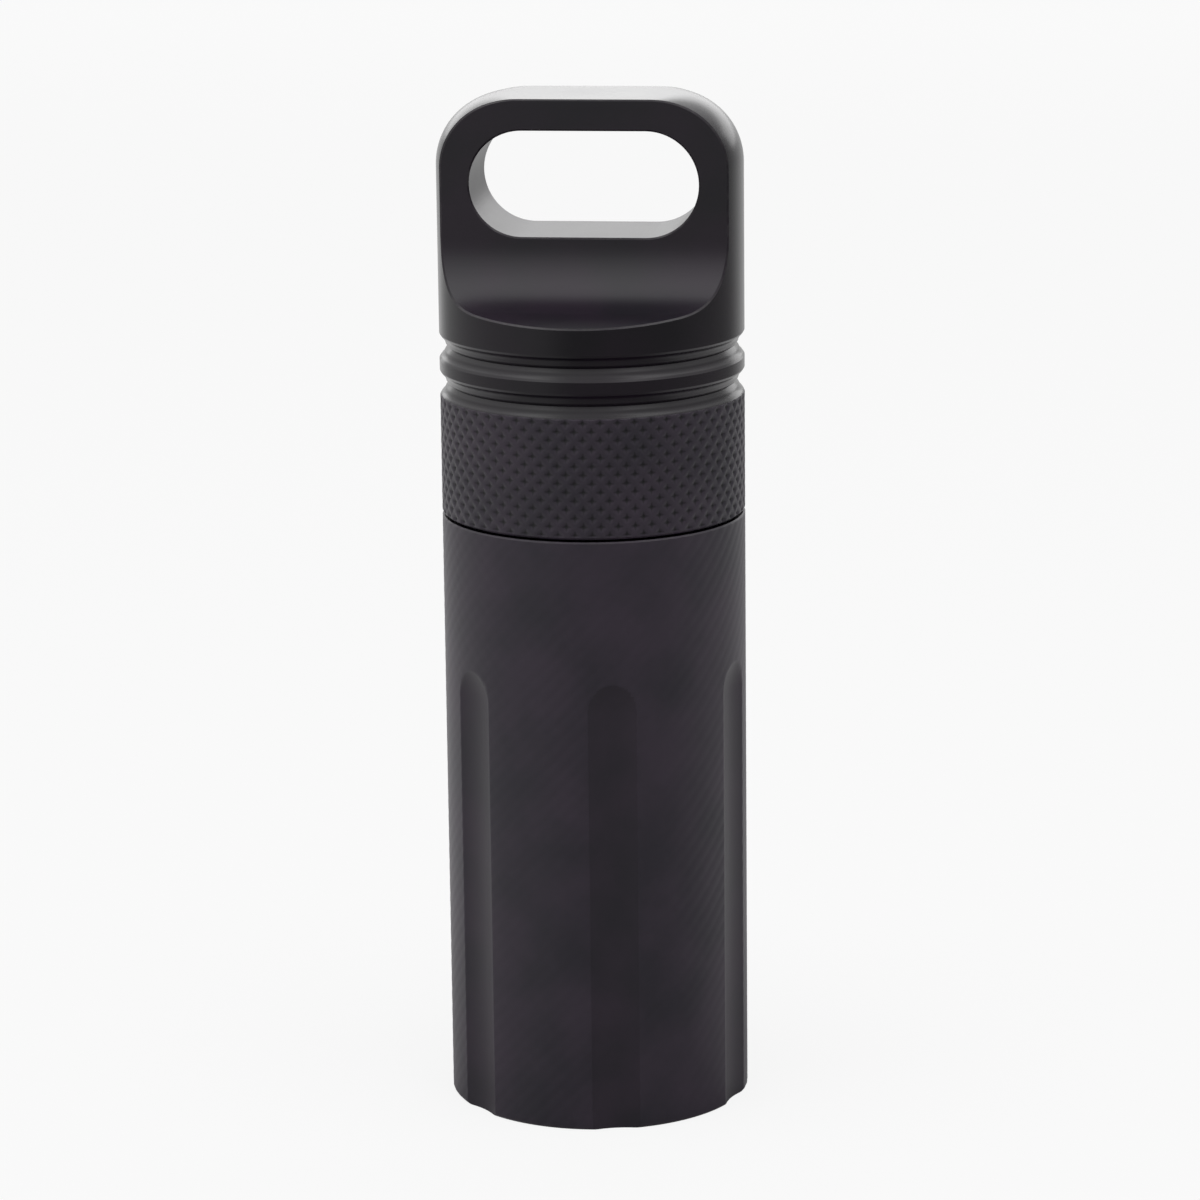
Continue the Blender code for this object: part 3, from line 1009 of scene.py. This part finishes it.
@dataclass
class TangCap:
    """The screw cap: knurled band, two grooves, ring, collar and slotted tang."""

    radius: float = 15.1
    floor: float = 14.72
    knurl_depth: float = 0.21
    crossing_share: float = 0.88
    groove_share: float = 3 / 8
    starts: int = 56
    steps: int = 8
    lip: float = 60.22
    lip_edge: Pair = (0.1, 1.2)
    least_row: float = 0.02
    knurl_foot: float = 60.65
    knurl_rise: float = 1.7
    band_top: float = 72.1
    lower_ease: Pair = (0.12, 0.7)
    upper_ease: Pair = (0.14, 0.6)
    groove_half: float = 1.175
    groove_depth: float = 0.65
    groove_steps: int = 14
    ring_foot: float = 74.45
    ring_top: float = 75.8
    head_foot: float = 78.15
    top: float = 101.7
    corner: float = 6.8
    corner_steps: int = 26
    half_tang: float = 5.4
    bowl_rim: float = 80.9
    bowl_radius: float = 6.8
    bowl_fall: float = math.radians(9)
    bowl_steps: int = 50
    slot_reach: float = 6.05
    slot_radius: float = 5.2
    slot_height: float = 93.42
    slot_chamfer: float = 0.16
    slot_steps: int = 150
    slot_line_steps: tuple[int, float] = (170, 0.37)
    edge_chamfer: float = 0.15
    rim_steps: tuple[int, ...] = (90, 16, 34, 17)
    breaker_reach: Pair = (1.2, 2.0)
    overrun: float = 2.0
    head_rows: tuple[float, ...] = (80.3, 82.6, 85.1, 87.6, 90.1, 92.7)
    top_rows: Pair = (5.5, 2.7)
    skirt: float = 13.72
    bore: float = 13.42
    skirt_chamfer: float = 0.2
    thread_floor: float = 65.7
    roof: float = 74.32
    roof_round: float = 0.3
    roof_rows: Pair = (3.0, 8.0)
    inner_columns: int = 112
    thread: ScrewThread = ScrewThread()
    thread_angle: float = 1.6
    cuts: list[bpy.types.Object] = field(default_factory=list)

    def groove(self, foot: float, start: float, end: float, count: int) -> Profile:
        """Part of a round-bottomed groove.

        Args:
            foot: the height of its lower edge.
            start: where the part begins, from -1 at the lower edge to 1 at the upper one.
            end: where it ends.
            count: how many steps it has.

        Returns:
            Its points, going up.
        """
        radius = (self.groove_half**2 + self.groove_depth**2) / (2 * self.groove_depth)
        swing = math.degrees(math.asin(self.groove_half / radius))
        centre = (self.radius - self.groove_depth + radius, foot + self.groove_half)
        cut = arc(centre, radius, 180 - start * swing, 180 - end * swing, count)
        return [(min(deep, self.eased(height - foot)), height) for deep, height in cut]

    def eased(self, above: float) -> float:
        """How far out a groove's eased edge lies, at a height above the groove's lower edge.

        Args:
            above: The height above the groove's lower edge.

        Returns:
            The distance from the axis.
        """
        if above < self.groove_half:
            reach, slope = self.lower_ease
            return self.radius - slope * max(above + reach, 0)
        reach, slope = self.upper_ease
        return self.radius - slope * max(2 * self.groove_half + reach - above, 0)

    def knurl(self, angles: np.ndarray, heights: np.ndarray) -> tuple[np.ndarray, np.ndarray]:
        """The knurl's radius, and whether a face there folds along its rising diagonal.

        Args:
            angles: the angle of each column.
            heights: the height of each row.

        Returns:
            The radius by row and column, and the fold by the face above and after each point.
        """
        def valley_share(turns: np.ndarray) -> np.ndarray:
            """How deep a point lies in the nearest groove of one direction, from 0 to 1."""
            off = np.abs(turns - np.floor(turns) - 0.5)
            return np.clip(1 - off / self.groove_share, 0, 1)

        half = 0.5 / self.steps
        round_share = angles[None, :] * self.starts / math.tau + 0.5
        rise_share = (heights[:, None] - self.knurl_foot) / self.knurl_rise
        one = valley_share(round_share + rise_share)
        other = valley_share(round_share - rise_share)
        alone = (1 - self.crossing_share) * np.maximum(one, other)
        radius = self.radius - self.knurl_depth * (alone + self.crossing_share * np.minimum(one, other))
        step = self.knurl_rise / self.steps
        middle = (heights[:-1, None] + step / 2 - self.knurl_foot) / self.knurl_rise
        falling = valley_share(round_share + half + middle)
        climbing = valley_share(round_share + half - middle)
        return radius, climbing < falling

    def band(self, shell: Shell) -> np.ndarray:
        """Adds the knurled band and the lower half of the groove above it.

        Args:
            shell: what it is added to.

        Returns:
            The band's lowest ring.
        """
        angles = even_angles(self.starts * self.steps)
        step = self.knurl_rise / self.steps
        knurled = np.arange(self.knurl_foot - step, self.band_top - step / 2, step)
        groove = self.groove(self.band_top, -1, 0, self.groove_steps)
        wall = [height for _, height in groove]
        edge = self.band_top - self.lower_ease[0]
        knurled = knurled[np.abs(knurled - edge) > self.least_row]
        heights = np.sort(np.concatenate([[self.lip], knurled, [edge], wall]))
        heights = heights[np.append(True, np.diff(heights) > self.least_row)]
        radii, rising = self.knurl(angles, heights)
        lip_cone = self.floor + self.lip_edge[0] + self.lip_edge[1] * (heights - self.lip)
        cut = np.interp(heights, wall, [radius for radius, _ in groove])
        eased = np.array([self.eased(height - self.band_top) for height in heights])
        cut = np.where(heights < self.band_top, eased, cut)
        radii = np.minimum(radii, np.minimum(lip_cone, cut)[:, None])
        points = round_the_axis(radii, heights, angles)
        shell.grid(points, Region.KNURLED, CAP_CHARTS["band"], rising)
        knurled_rows = np.count_nonzero(heights < self.band_top)
        shell.regions[-1].reshape(len(heights) - 1, -1)[knurled_rows:] = Region.TURNED.value
        return points

    @property
    def head_angles(self) -> np.ndarray:
        """The angles of the head's columns, half as many as the band's."""
        return even_angles(self.starts * self.steps // 2, 0.5)

    def head_profile(self) -> Profile:
        """The turned outline from the bottom of the lower groove up to the middle of the top.

        Returns:
            Pairs of radius and height.
        """
        profile = self.groove(self.band_top, 0, 1, self.groove_steps)
        profile += [(self.radius, self.ring_foot + self.upper_ease[0]),
                    (self.radius, self.ring_top - self.lower_ease[0])]
        profile += self.groove(self.ring_top, -1, 1, 2 * self.groove_steps)
        profile += [(self.radius, self.head_foot + self.upper_ease[0])]
        profile += [(self.radius, height) for height in self.head_rows]
        centre = (self.radius - self.corner, self.top - self.corner)
        profile += arc(centre, self.corner, 0, 90, self.corner_steps)
        return profile + [(reach, self.top) for reach in self.top_rows]

    @property
    def bowl_centre(self) -> Pair:
        """The middle of the hollow under the tang's face, away from the middle and up.

        Returns:
            The distance from the middle, and the height.
        """
        reach = self.half_tang + self.bowl_radius
        sloped = self.radius - reach + self.bowl_radius * math.sin(self.bowl_fall)
        rise = sloped * math.tan(self.bowl_fall) + self.bowl_radius * math.cos(self.bowl_fall)
        return reach, self.bowl_rim + rise

    def bowl_floor(self, deep: float) -> Pair:
        """The height of the hollow at a distance from the middle, and how far its normal leans up.

        Args:
            deep: The distance from the middle.

        Returns:
            The height, and the upward part of the normal.
        """
        reach, height = self.bowl_centre
        share = min(max((reach - deep) / self.bowl_radius, math.sin(self.bowl_fall)), 1.0)
        lean = math.sqrt(1 - share**2)
        sloped = max(deep - reach + self.bowl_radius * math.sin(self.bowl_fall), 0)
        return height - self.bowl_radius * lean - sloped * math.tan(self.bowl_fall), lean

    def side_block(self, side: int) -> bpy.types.Object:
        """A block that cuts one side of the head down to the tang.

        Args:
            side: -1 for the front, 1 for the back.

        Returns:
            The block.
        """
        fall = math.degrees(self.bowl_fall)
        outline = arc(self.bowl_centre, self.bowl_radius, 180, 270 - fall, self.bowl_steps)
        past, over = self.radius + self.overrun, self.top + self.overrun
        outline += [(self.radius, self.bowl_rim),
                    (past, self.bowl_rim - self.overrun * math.tan(self.bowl_fall)),
                    (past, over), (self.half_tang, over)]
        rings = np.array([[(x, side * y, z) for y, z in outline] for x in (-past, past)])
        reach = np.cumsum(np.append(0, np.linalg.norm(np.diff(rings[0], axis=0), axis=1)))
        spread = np.append(reach, reach[-1] + 1) / (reach[-1] + 1)
        shell = Shell()
        shell.bar(rings, spread, CAP_CHARTS["front_bowl" if side < 0 else "back_bowl"])
        return self.cutter(f"side_block_{side}", shell)

    def slot_outline(self, count: int, shift: float = 0.0) -> tuple[np.ndarray, np.ndarray]:
        """The slot's round-ended outline, in even steps.

        Args:
            count: how many points it has.
            shift: how far the first point is moved on, as a share of a step.

        Returns:
            Its points across and up, and the direction from the wall to the opening at each.
        """
        straight, bend = 2 * self.slot_reach, math.pi * self.slot_radius
        points, inward = [], []
        for travelled in (np.arange(count) + shift) / count * 2 * (straight + bend):
            side = 1 if travelled < straight + bend else -1
            left = travelled % (straight + bend)
            angle = min(max(left - straight, 0) / self.slot_radius, math.pi) - math.pi / 2
            across = min(left, straight) - self.slot_reach
            out = np.array([math.cos(angle), math.sin(angle)]) * side
            points.append(np.array([side * across, self.slot_height]) + self.slot_radius * out)
            inward.append(-out)
        return np.array(points), np.array(inward)

    def slot_bar(self) -> bpy.types.Object:
        """A bar that cuts the slot through the tang.

        Returns:
            The bar, as an object.
        """
        outline, _ = self.slot_outline(self.slot_steps)
        rings = np.array([[(x, y, z) for x, z in outline] for y in (-self.radius, self.radius)])
        shell = Shell()
        shell.bar(rings, np.arange(self.slot_steps + 1) / self.slot_steps, CAP_CHARTS["slot"])
        return self.cutter("slot_bar", shell)

    def rim_line(self, side: int) -> tuple[np.ndarray, np.ndarray, np.ndarray]:
        """The edge where the tang's face meets the turned outside, all the way round.

        Args:
            side: -1 for the front, 1 for the back.

        Returns:
            Its points, the outside's normals and the face's normals.
        """
        half = []
        round_bowl, upright, round_corner, level = self.rim_steps
        widest = math.acos(self.half_tang / self.radius)
        for beta in np.linspace(0, widest, round_bowl)[:-1] + widest / (2 * round_bowl):
            across, deep = self.radius * math.sin(beta), self.radius * math.cos(beta)
            height, lean = self.bowl_floor(deep)
            half.append((across, deep, height, math.sin(beta), math.cos(beta), 0.0, lean))
        foot = self.top - self.corner
        for height in np.linspace(self.bowl_centre[1], foot, upright)[1:-1]:
            across = math.sqrt(self.radius**2 - self.half_tang**2)
            half.append((across, self.half_tang, height, across / self.radius,
                         self.half_tang / self.radius, 0.0, 0.0))
        for gamma in np.radians(np.linspace(0, 90, round_corner)[:-1]):
            radius = self.radius - self.corner + self.corner * math.cos(gamma)
            across = math.sqrt(radius**2 - self.half_tang**2)
            half.append((across, self.half_tang, foot + self.corner * math.sin(gamma),
                         across / radius * math.cos(gamma), self.half_tang / radius * math.cos(gamma),
                         math.sin(gamma), 0.0))
        flat = math.sqrt((self.radius - self.corner)**2 - self.half_tang**2)
        for across in np.linspace(flat, 0, level)[:-1] - flat / (2 * level):
            half.append((across, self.half_tang, self.top, 0.0, 0.0, 1.0, 0.0))
        right = np.array(half)
        left = right[::-1] * np.array([-1, 1, 1, -1, 1, 1, 1])
        loop = np.concatenate([right, left]) * np.array([1, side, 1, 1, side, 1, 1])
        points, outside, lean = loop[:, :3], loop[:, 3:6], loop[:, 6]
        face = np.stack([np.zeros(len(lean)), side * np.sqrt(1 - lean**2), lean], axis=1)
        return points, outside, face

    def slot_line(self, side: int) -> tuple[np.ndarray, np.ndarray, np.ndarray]:
        """The edge where the slot comes out of the tang's face.

        Args:
            side: -1 for the front, 1 for the back.

        Returns:
            Its points, the slot wall's normals and the face's normals.
        """
        outline, inward = self.slot_outline(*self.slot_line_steps)
        count = len(outline)
        points = np.stack([outline[:, 0], np.full(count, side * self.half_tang), outline[:, 1]], axis=1)
        wall = np.stack([inward[:, 0], np.zeros(count), inward[:, 1]], axis=1)
        face = np.tile([0.0, side, 0.0], (count, 1))
        return points, wall, face

    def edge_breaker(self, name: str, line: tuple[np.ndarray, np.ndarray, np.ndarray], width: float,
                     chart: Chart) -> bpy.types.Object:
        """A three-sided bar swept along an edge, which takes the edge off.

        Args:
            name: its name.
            line: the edge's points and the normals of the two faces that meet there.
            width: how much it takes off each face.
            chart: its corner and size in the unwrap.

        Returns:
            The bar.
        """
        points, one, other = line
        tangent = unit(np.roll(points, -1, axis=0) - np.roll(points, 1, axis=0))

        def into(normal: np.ndarray, opposite: np.ndarray) -> np.ndarray:
            """The direction along a face away from the edge."""
            across = unit(np.cross(normal, tangent))
            return across * -np.sign((across * opposite).sum(axis=1, keepdims=True))

        foot = points + width * into(one, other)
        far = points + width * into(other, one)
        along = unit(foot - far)
        beyond, over = (reach * width for reach in self.breaker_reach)
        crown = points + unit(one + other) * over
        rings = np.stack([foot + beyond * along, far - beyond * along, crown], axis=1)
        count = len(points)
        here = np.arange(count)
        after = (here + 1) % count
        faces, corners = [], []
        left = chart[0] + chart[2] * here / count
        right = chart[0] + chart[2] * (here + 1) / count
        for k in range(3):
            low = chart[1] + chart[3] * k / 3
            high = chart[1] + chart[3] * (k + 1) / 3
            following = (k + 1) % 3
            faces.append(np.stack([here * 3 + k, here * 3 + following,
                                   after * 3 + following, after * 3 + k], axis=1))
            sides = boxes(left, right, np.full(count, low), np.full(count, high))
            corners.append(sides[:, [0, 3, 2, 1]])
        shell = Shell()
        shell.add(rings.reshape(-1, 3), np.concatenate(faces), np.concatenate(corners), Region.EDGE)
        return self.cutter(name, shell)

    def cutter(self, name: str, shell: Shell) -> bpy.types.Object:
        """Makes an object that the head is cut with.

        Args:
            name: The object's name.
            shell: Its faces.

        Returns:
            The object.
        """
        cutter = add_object(name, shell.mesh(name))
        wear(cutter.data, CAP_FINISHES)
        self.cuts.append(cutter)
        return cutter

    def head(self) -> bpy.types.Mesh:
        """The head: turned, cut to the tang, slotted and with its edges taken off.

        Returns:
            Its mesh, open at the bottom of the lower groove.
        """
        shell = Shell()
        rings = turn(self.head_profile(), self.head_angles)
        shell.grid(rings, Region.TURNED, CAP_CHARTS["head"])
        shell.fan(rings[-1], Region.TURNED, CAP_CHARTS["top"])
        shell.fan(rings[0][::-1], Region.KNURLED, CAP_CHARTS["head_foot"])
        head = add_object("head", shell.mesh("head"))
        wear(head.data, CAP_FINISHES)
        for side in (-1, 1):
            self.side_block(side)
        self.slot_bar()
        for side, place in ((-1, "front"), (1, "back")):
            self.edge_breaker(f"rim_breaker_{side}", self.rim_line(side), self.edge_chamfer,
                              CAP_CHARTS[f"{place}_rim"])
            self.edge_breaker(f"slot_breaker_{side}", self.slot_line(side), self.slot_chamfer,
                              CAP_CHARTS[f"{place}_slot"])
        for cutter in self.cuts:
            cut = head.modifiers.new(cutter.name, "BOOLEAN")
            cut.operation, cut.solver, cut.object = "DIFFERENCE", "EXACT", cutter
            cut.material_mode = "INDEX"
        mesh = bpy.data.meshes.new_from_object(
            head.evaluated_get(bpy.context.evaluated_depsgraph_get()))
        for thing in [head, *self.cuts]:
            bpy.data.objects.remove(thing)
        form = bmesh.new()
        form.from_mesh(mesh)
        # The lid that closed the head for the cuts is its only face that counts as knurled.
        bottom = [face for face in form.faces if face.material_index == Region.KNURLED.value]
        bmesh.ops.delete(form, geom=bottom, context="FACES")
        bmesh.ops.remove_doubles(form, verts=form.verts, dist=WELD)
        form.to_mesh(mesh)
        form.free()
        return mesh

    def inside(self, shell: Shell, lip_ring: np.ndarray) -> None:
        """Adds the lip, skirt, thread and roof.

        Args:
            shell: what they are added to.
            lip_ring: the band's lowest ring, which the lip joins.
        """
        around = even_angles(self.inner_columns)
        turns = self.thread.rows()[::-1]
        bend, cut = self.roof_round, self.skirt_chamfer
        upper: Profile = [(reach, self.roof) for reach in (*self.roof_rows, self.bore - bend)]
        upper += arc((self.bore - bend, self.roof - bend), bend, 90, 0, 5)[1:]
        wall = self.bore - self.thread.height(around, turns, self.thread_angle)
        thread = round_the_axis(wall, turns, around)
        roof = turn(upper, around)
        shell.fan(roof[0][::-1], Region.TURNED, CAP_CHARTS["roof"])
        shell.grid(np.concatenate([roof, thread[:1]]), Region.TURNED, CAP_CHARTS["roof_edge"])
        shell.grid(thread, Region.TURNED, CAP_CHARTS["thread"])
        lower: Profile = [(self.bore, self.thread_floor), (self.skirt, self.thread_floor),
                          (self.skirt, self.lip + cut), (self.skirt + cut, self.lip)]
        skirt = turn(lower, around)
        shell.grid(np.concatenate([thread[-1:], skirt]), Region.TURNED, CAP_CHARTS["skirt"])
        shell.stitch(skirt[-1], lip_ring, Region.TURNED, CAP_CHARTS["lip"])

    def build(self) -> bpy.types.Object:
        """Builds and dresses the cap.

        Returns:
            The piece.
        """
        shell = Shell()
        band = self.band(shell)
        self.inside(shell, band[0])
        throat = turn(self.head_profile()[:1], self.head_angles)[0]
        shell.stitch(band[-1], throat, Region.TURNED, CAP_CHARTS["throat"])
        mesh = shell.mesh("tang_cap")
        form = bmesh.new()
        form.from_mesh(mesh)
        form.from_mesh(self.head())
        bmesh.ops.remove_doubles(form, verts=form.verts, dist=WELD)
        bmesh.ops.recalc_face_normals(form, faces=form.faces)
        LOG.info("cap: %d open edges", sum(not edge.is_manifold for edge in form.edges))
        form.to_mesh(mesh)
        form.free()
        return add_piece("tang_cap", mesh, CAP_FINISHES, "cap", "screw_cap")


@dataclass
class SealRing:
    """A moulded rubber O-ring with its faint parting lines."""

    name: str
    node: str
    foot: float
    radius: float = 12.72
    section: float = 1.6
    flash: float = 0.018
    flash_width: float = 0.07
    around: int = 160
    across: int = 44

    def build(self) -> bpy.types.Object:
        """Builds and dresses the ring.

        Returns:
            The piece.
        """
        turns = np.linspace(0, math.tau, self.across + 1)
        off = np.minimum(np.mod(turns, math.pi), math.pi - np.mod(turns, math.pi))
        thick = self.section / 2 - self.flash * (1 - np.exp(-(off / self.flash_width) ** 2))
        middle = self.foot + self.section / 2
        profile = [(self.radius + away * math.cos(turn), middle + away * math.sin(turn))
                   for away, turn in zip(thick, turns)]
        profile[-1] = profile[0]
        shell = Shell()
        shell.grid(turn(profile, even_angles(self.around)), Region.TURNED, RING_CHART)
        mesh = shell.mesh(self.name)
        return add_piece(self.name, mesh, [BLACK_RUBBER], "tube", self.node)


@dataclass
class RoofSeal:
    """The pale disc in the cap's roof, with rounded edges and the print of the neck's rim."""

    radius: float = 13.12
    foot: float = 72.52
    top: float = 74.02
    round_edge: float = 0.28
    print_inner: float = 10.4
    print_outer: float = 12.4
    print_depth: float = 0.09
    print_slope: float = 0.15
    face_rows: Pair = (2.0, 6.0)
    columns: int = 160

    def build(self) -> bpy.types.Object:
        """Builds and dresses the disc.

        Returns:
            The piece.
        """
        soft = self.round_edge
        reach = self.radius - soft
        pressed = self.foot + self.print_depth
        inner, outer = self.print_inner - self.print_slope, self.print_outer + self.print_slope
        profile: Profile = [(across, self.foot) for across in (*self.face_rows, inner)]
        profile += [(self.print_inner, pressed), (self.print_outer, pressed), (outer, self.foot)]
        profile += arc((reach, self.foot + soft), soft, -90, 0, 6)
        profile += arc((reach, self.top - soft), soft, 0, 90, 6)
        profile += [(across, self.top) for across in self.face_rows[::-1]]
        rings = turn(profile, even_angles(self.columns))
        shell = Shell()
        shell.grid(rings, Region.TURNED, SEAL_CHARTS["rim"])
        shell.fan(rings[0][::-1], Region.TURNED, SEAL_CHARTS["foot"])
        shell.fan(rings[-1], Region.TURNED, SEAL_CHARTS["top"])
        mesh = shell.mesh("roof_seal")
        return add_piece("roof_seal", mesh, [PALE_SILICONE], "disc", "seal_disc")


@dataclass(frozen=True)
class Softbox:
    """A soft lamp that faces the capsule.

    The azimuth is 0 in front of the capsule and 90 on its right, the elevation its height over
    the horizon, both in degrees; distance and size are in metres.
    """

    name: str
    azimuth: float
    elevation: float
    distance: float
    size: Pair
    radiance: float
    glossy: bool = True
    aim: float = 0.05

    def hang(self) -> None:
        """Adds the lamp, which shows in a gloss only where that is wanted."""
        lamp = bpy.data.lights.new(self.name, "AREA")
        lamp.shape, lamp.size, lamp.size_y = "RECTANGLE", *self.size
        lamp.energy = self.radiance * math.pi * self.size[0] * self.size[1]
        softbox = add_object(self.name, lamp)
        softbox.visible_camera, softbox.visible_glossy = False, self.glossy
        a, e = math.radians(self.azimuth), math.radians(self.elevation)
        away = Vector((math.sin(a) * math.cos(e), -math.cos(a) * math.cos(e), math.sin(e)))
        softbox.location = Vector((0, 0, self.aim)) + away * self.distance
        softbox.rotation_euler = away.to_track_quat("Z", "Y").to_euler()


SOFTBOXES = [
    Softbox("top_softbox", azimuth=0, elevation=79, distance=0.9, size=(0.9, 0.5), radiance=3.0,
            glossy=False),
    Softbox("back_softbox", azimuth=180, elevation=14, distance=1.2, size=(1.7, 0.34), radiance=1.35)]


@dataclass
class Studio:
    """A white sweep under plain soft light.

    A gloss shows it as a dark room that is lighter on the left, behind and above. Each brightness
    stands before the two limits between which it sets in: parts of the direction, or metres.
    """

    floor_radius: float = 4.0
    floor_sides: int = 96
    floor_colour: tuple[float, float, float, float] = (0.86, 0.86, 0.86, 1.0)
    white: tuple[float, float, float, float] = (1.0, 1.0, 1.0, 1.0)
    seen_share: float = 0.85
    ambient: float = 0.36
    room: float = 0.30
    left_wall: float = 0.30
    left_limits: Pair = (-0.1, -0.6)
    back_wall: float = 0.45
    back_limits: Pair = (0.62, 1.0)
    overhead: float = 0.80
    overhead_limits: Pair = (0.1, 0.8)
    high_back: float = 0.6
    high_back_limits: tuple[Pair, ...] = ((0.05, 0.45), (0.5, 0.8))
    zenith: float = 0.05
    zenith_limits: Pair = (0.72, 0.92)
    zenith_sides: float = 1.60
    zenith_sides_limits: Pair = (0.02, 0.2)
    # Painted light: how much brighter the near floor glows at the sides of the foot.
    near_sides: float = 0.30
    near_sides_limits: tuple[Pair, ...] = ((0.1, 0.5), (-0.5, 0.1), (0.28, 0.33))
    near_right: float = 0.16
    near_right_limits: Pair = (0.0, 0.3)
    # Painted shadow: how much of the floor's glow is kept at the capsule's foot, and where that fades
    # out.
    foot_shadow_level: float = 0.65
    foot_shadow_limits: Pair = (0.018, 0.09)

    def glossy_level(self, graph: Graph, place: bpy.types.NodeSocket) -> Value:
        """How bright a gloss shows the room.

        Args:
            graph: the nodes.
            place: the place seen from the capsule's foot, or the direction.

        Returns:
            The brightness.
        """
        x, y, z = graph.direction(place)
        behind, up = self.high_back_limits
        left = x.within(*self.left_limits) * self.left_wall
        back = y.within(*self.back_limits) * self.back_wall
        above = z.within(*self.overhead_limits) * self.overhead
        high = y.within(*behind) * z.within(*up) * self.high_back
        sides = (x * x).within(*self.zenith_sides_limits) * self.zenith_sides
        top = z.within(*self.zenith_limits) * (self.zenith + sides)
        return self.room + left + back + above + high + top

    def floor_level(self, graph: Graph, place: bpy.types.NodeSocket) -> Value:
        """How bright a gloss shows the floor: painted light at the sides of the foot, a painted shadow
        close to it.

        Args:
            graph: the nodes.
            place: the place on the floor.

        Returns:
            The brightness.
        """
        away = graph.value("VectorMath", {"operation": "LENGTH"}, {0: place}, "Value")
        x, y, _ = graph.direction(place)
        across, behind, reach = self.near_sides_limits
        # Painted light: the near floor glows brighter at the sides of the foot.
        aside = (x * x).within(*across) * y.within(*behind) * (1 - away.within(*reach))
        sides = aside * (self.near_sides + x.within(*self.near_right_limits) * self.near_right)
        # Painted shadow: the floor's glow is dimmed close to the capsule's foot.
        foot = self.foot_shadow_level + away.within(*self.foot_shadow_limits) * (1 - self.foot_shadow_level)
        return (self.glossy_level(graph, place) + sides) * foot

    def build_floor(self) -> None:
        """Makes the pale floor, which keeps the capsule's shadow."""
        form = bmesh.new()
        bmesh.ops.create_circle(form, cap_ends=True, radius=self.floor_radius, segments=self.floor_sides)
        mesh = bpy.data.meshes.new("floor")
        form.to_mesh(mesh)
        form.free()
        floor = add_object("floor", mesh)
        material, graph = new_material("white_sweep")
        camera, glossy, clear = graph.rays()
        place = graph.node("TexCoord").outputs["Object"]
        level = glossy * self.floor_level(graph, place) + (1 - glossy)
        matt = graph.node("BsdfDiffuse", None, {"Color": self.floor_colour})
        plain = graph.node("Emission", None, {"Color": self.white, "Strength": level})
        share = camera * self.seen_share + glossy + clear * self.seen_share
        mix = graph.node("MixShader", None, {0: share, 1: matt.outputs[0], 2: plain.outputs[0]})
        graph.node("OutputMaterial", None, {0: mix.outputs[0]})
        mesh.materials.append(material)

    def build_world(self) -> None:
        """Makes the room: plain grey light, seen as white."""
        world = bpy.data.worlds.new("studio")
        world.use_nodes = True
        graph = Graph(world.node_tree)
        camera, glossy, clear = graph.rays()
        level = self.glossy_level(graph, graph.node("TexCoord").outputs["Generated"])
        seen = camera + clear
        strength = seen + glossy * level + (1 - seen - glossy) * self.ambient
        light = graph.node("Background", None, {"Color": self.white, "Strength": strength})
        graph.node("OutputWorld", None, {0: light.outputs[0]})
        bpy.context.scene.world = world

    def build(self) -> None:
        """Builds the floor, the room and the softboxes."""
        self.build_floor()
        self.build_world()
        for softbox in SOFTBOXES:
            softbox.hang()
        LOG.info("studio: floor, room and softboxes")


@dataclass(frozen=True)
class PhotoCamera:
    """The camera, where the photograph was taken from."""

    lens: float = 138.4
    sensor: float = 36.0
    clip_start: float = 0.01
    place: tuple[float, float, float] = (0.0005, -0.450, 0.158)
    azimuth: float = 7.0
    pitch: float = 13.41
    roll: float = 0.66

    def build(self) -> None:
        """Adds the camera and makes it the scene's."""
        data = bpy.data.cameras.new("camera")
        data.sensor_width, data.lens, data.clip_start = self.sensor, self.lens, self.clip_start
        camera = add_object("camera", data)
        around = Matrix.Rotation(math.radians(self.azimuth), 4, "Z")
        tilt = Matrix.Rotation(math.radians(90 - self.pitch), 4, "X")
        roll = Matrix.Rotation(math.radians(-self.roll), 4, "Z")
        camera.matrix_world = around @ Matrix.Translation(self.place) @ tilt @ roll
        bpy.context.scene.camera = camera


def main() -> None:
    """Builds the studio, the camera and every piece of the capsule."""
    logging.basicConfig(level=logging.INFO, format="%(message)s")
    bpy.context.scene.view_settings.view_transform = "Standard"
    PhotoCamera().build()
    Studio().build()
    FlutedTube().build()
    SealRing("foot_o_ring", "lower_o_ring", foot=60.2).build()
    SealRing("neck_o_ring", "upper_o_ring", foot=62.9).build()
    RoofSeal().build()
    TangCap().build()


if __name__ == "__main__":
    main()
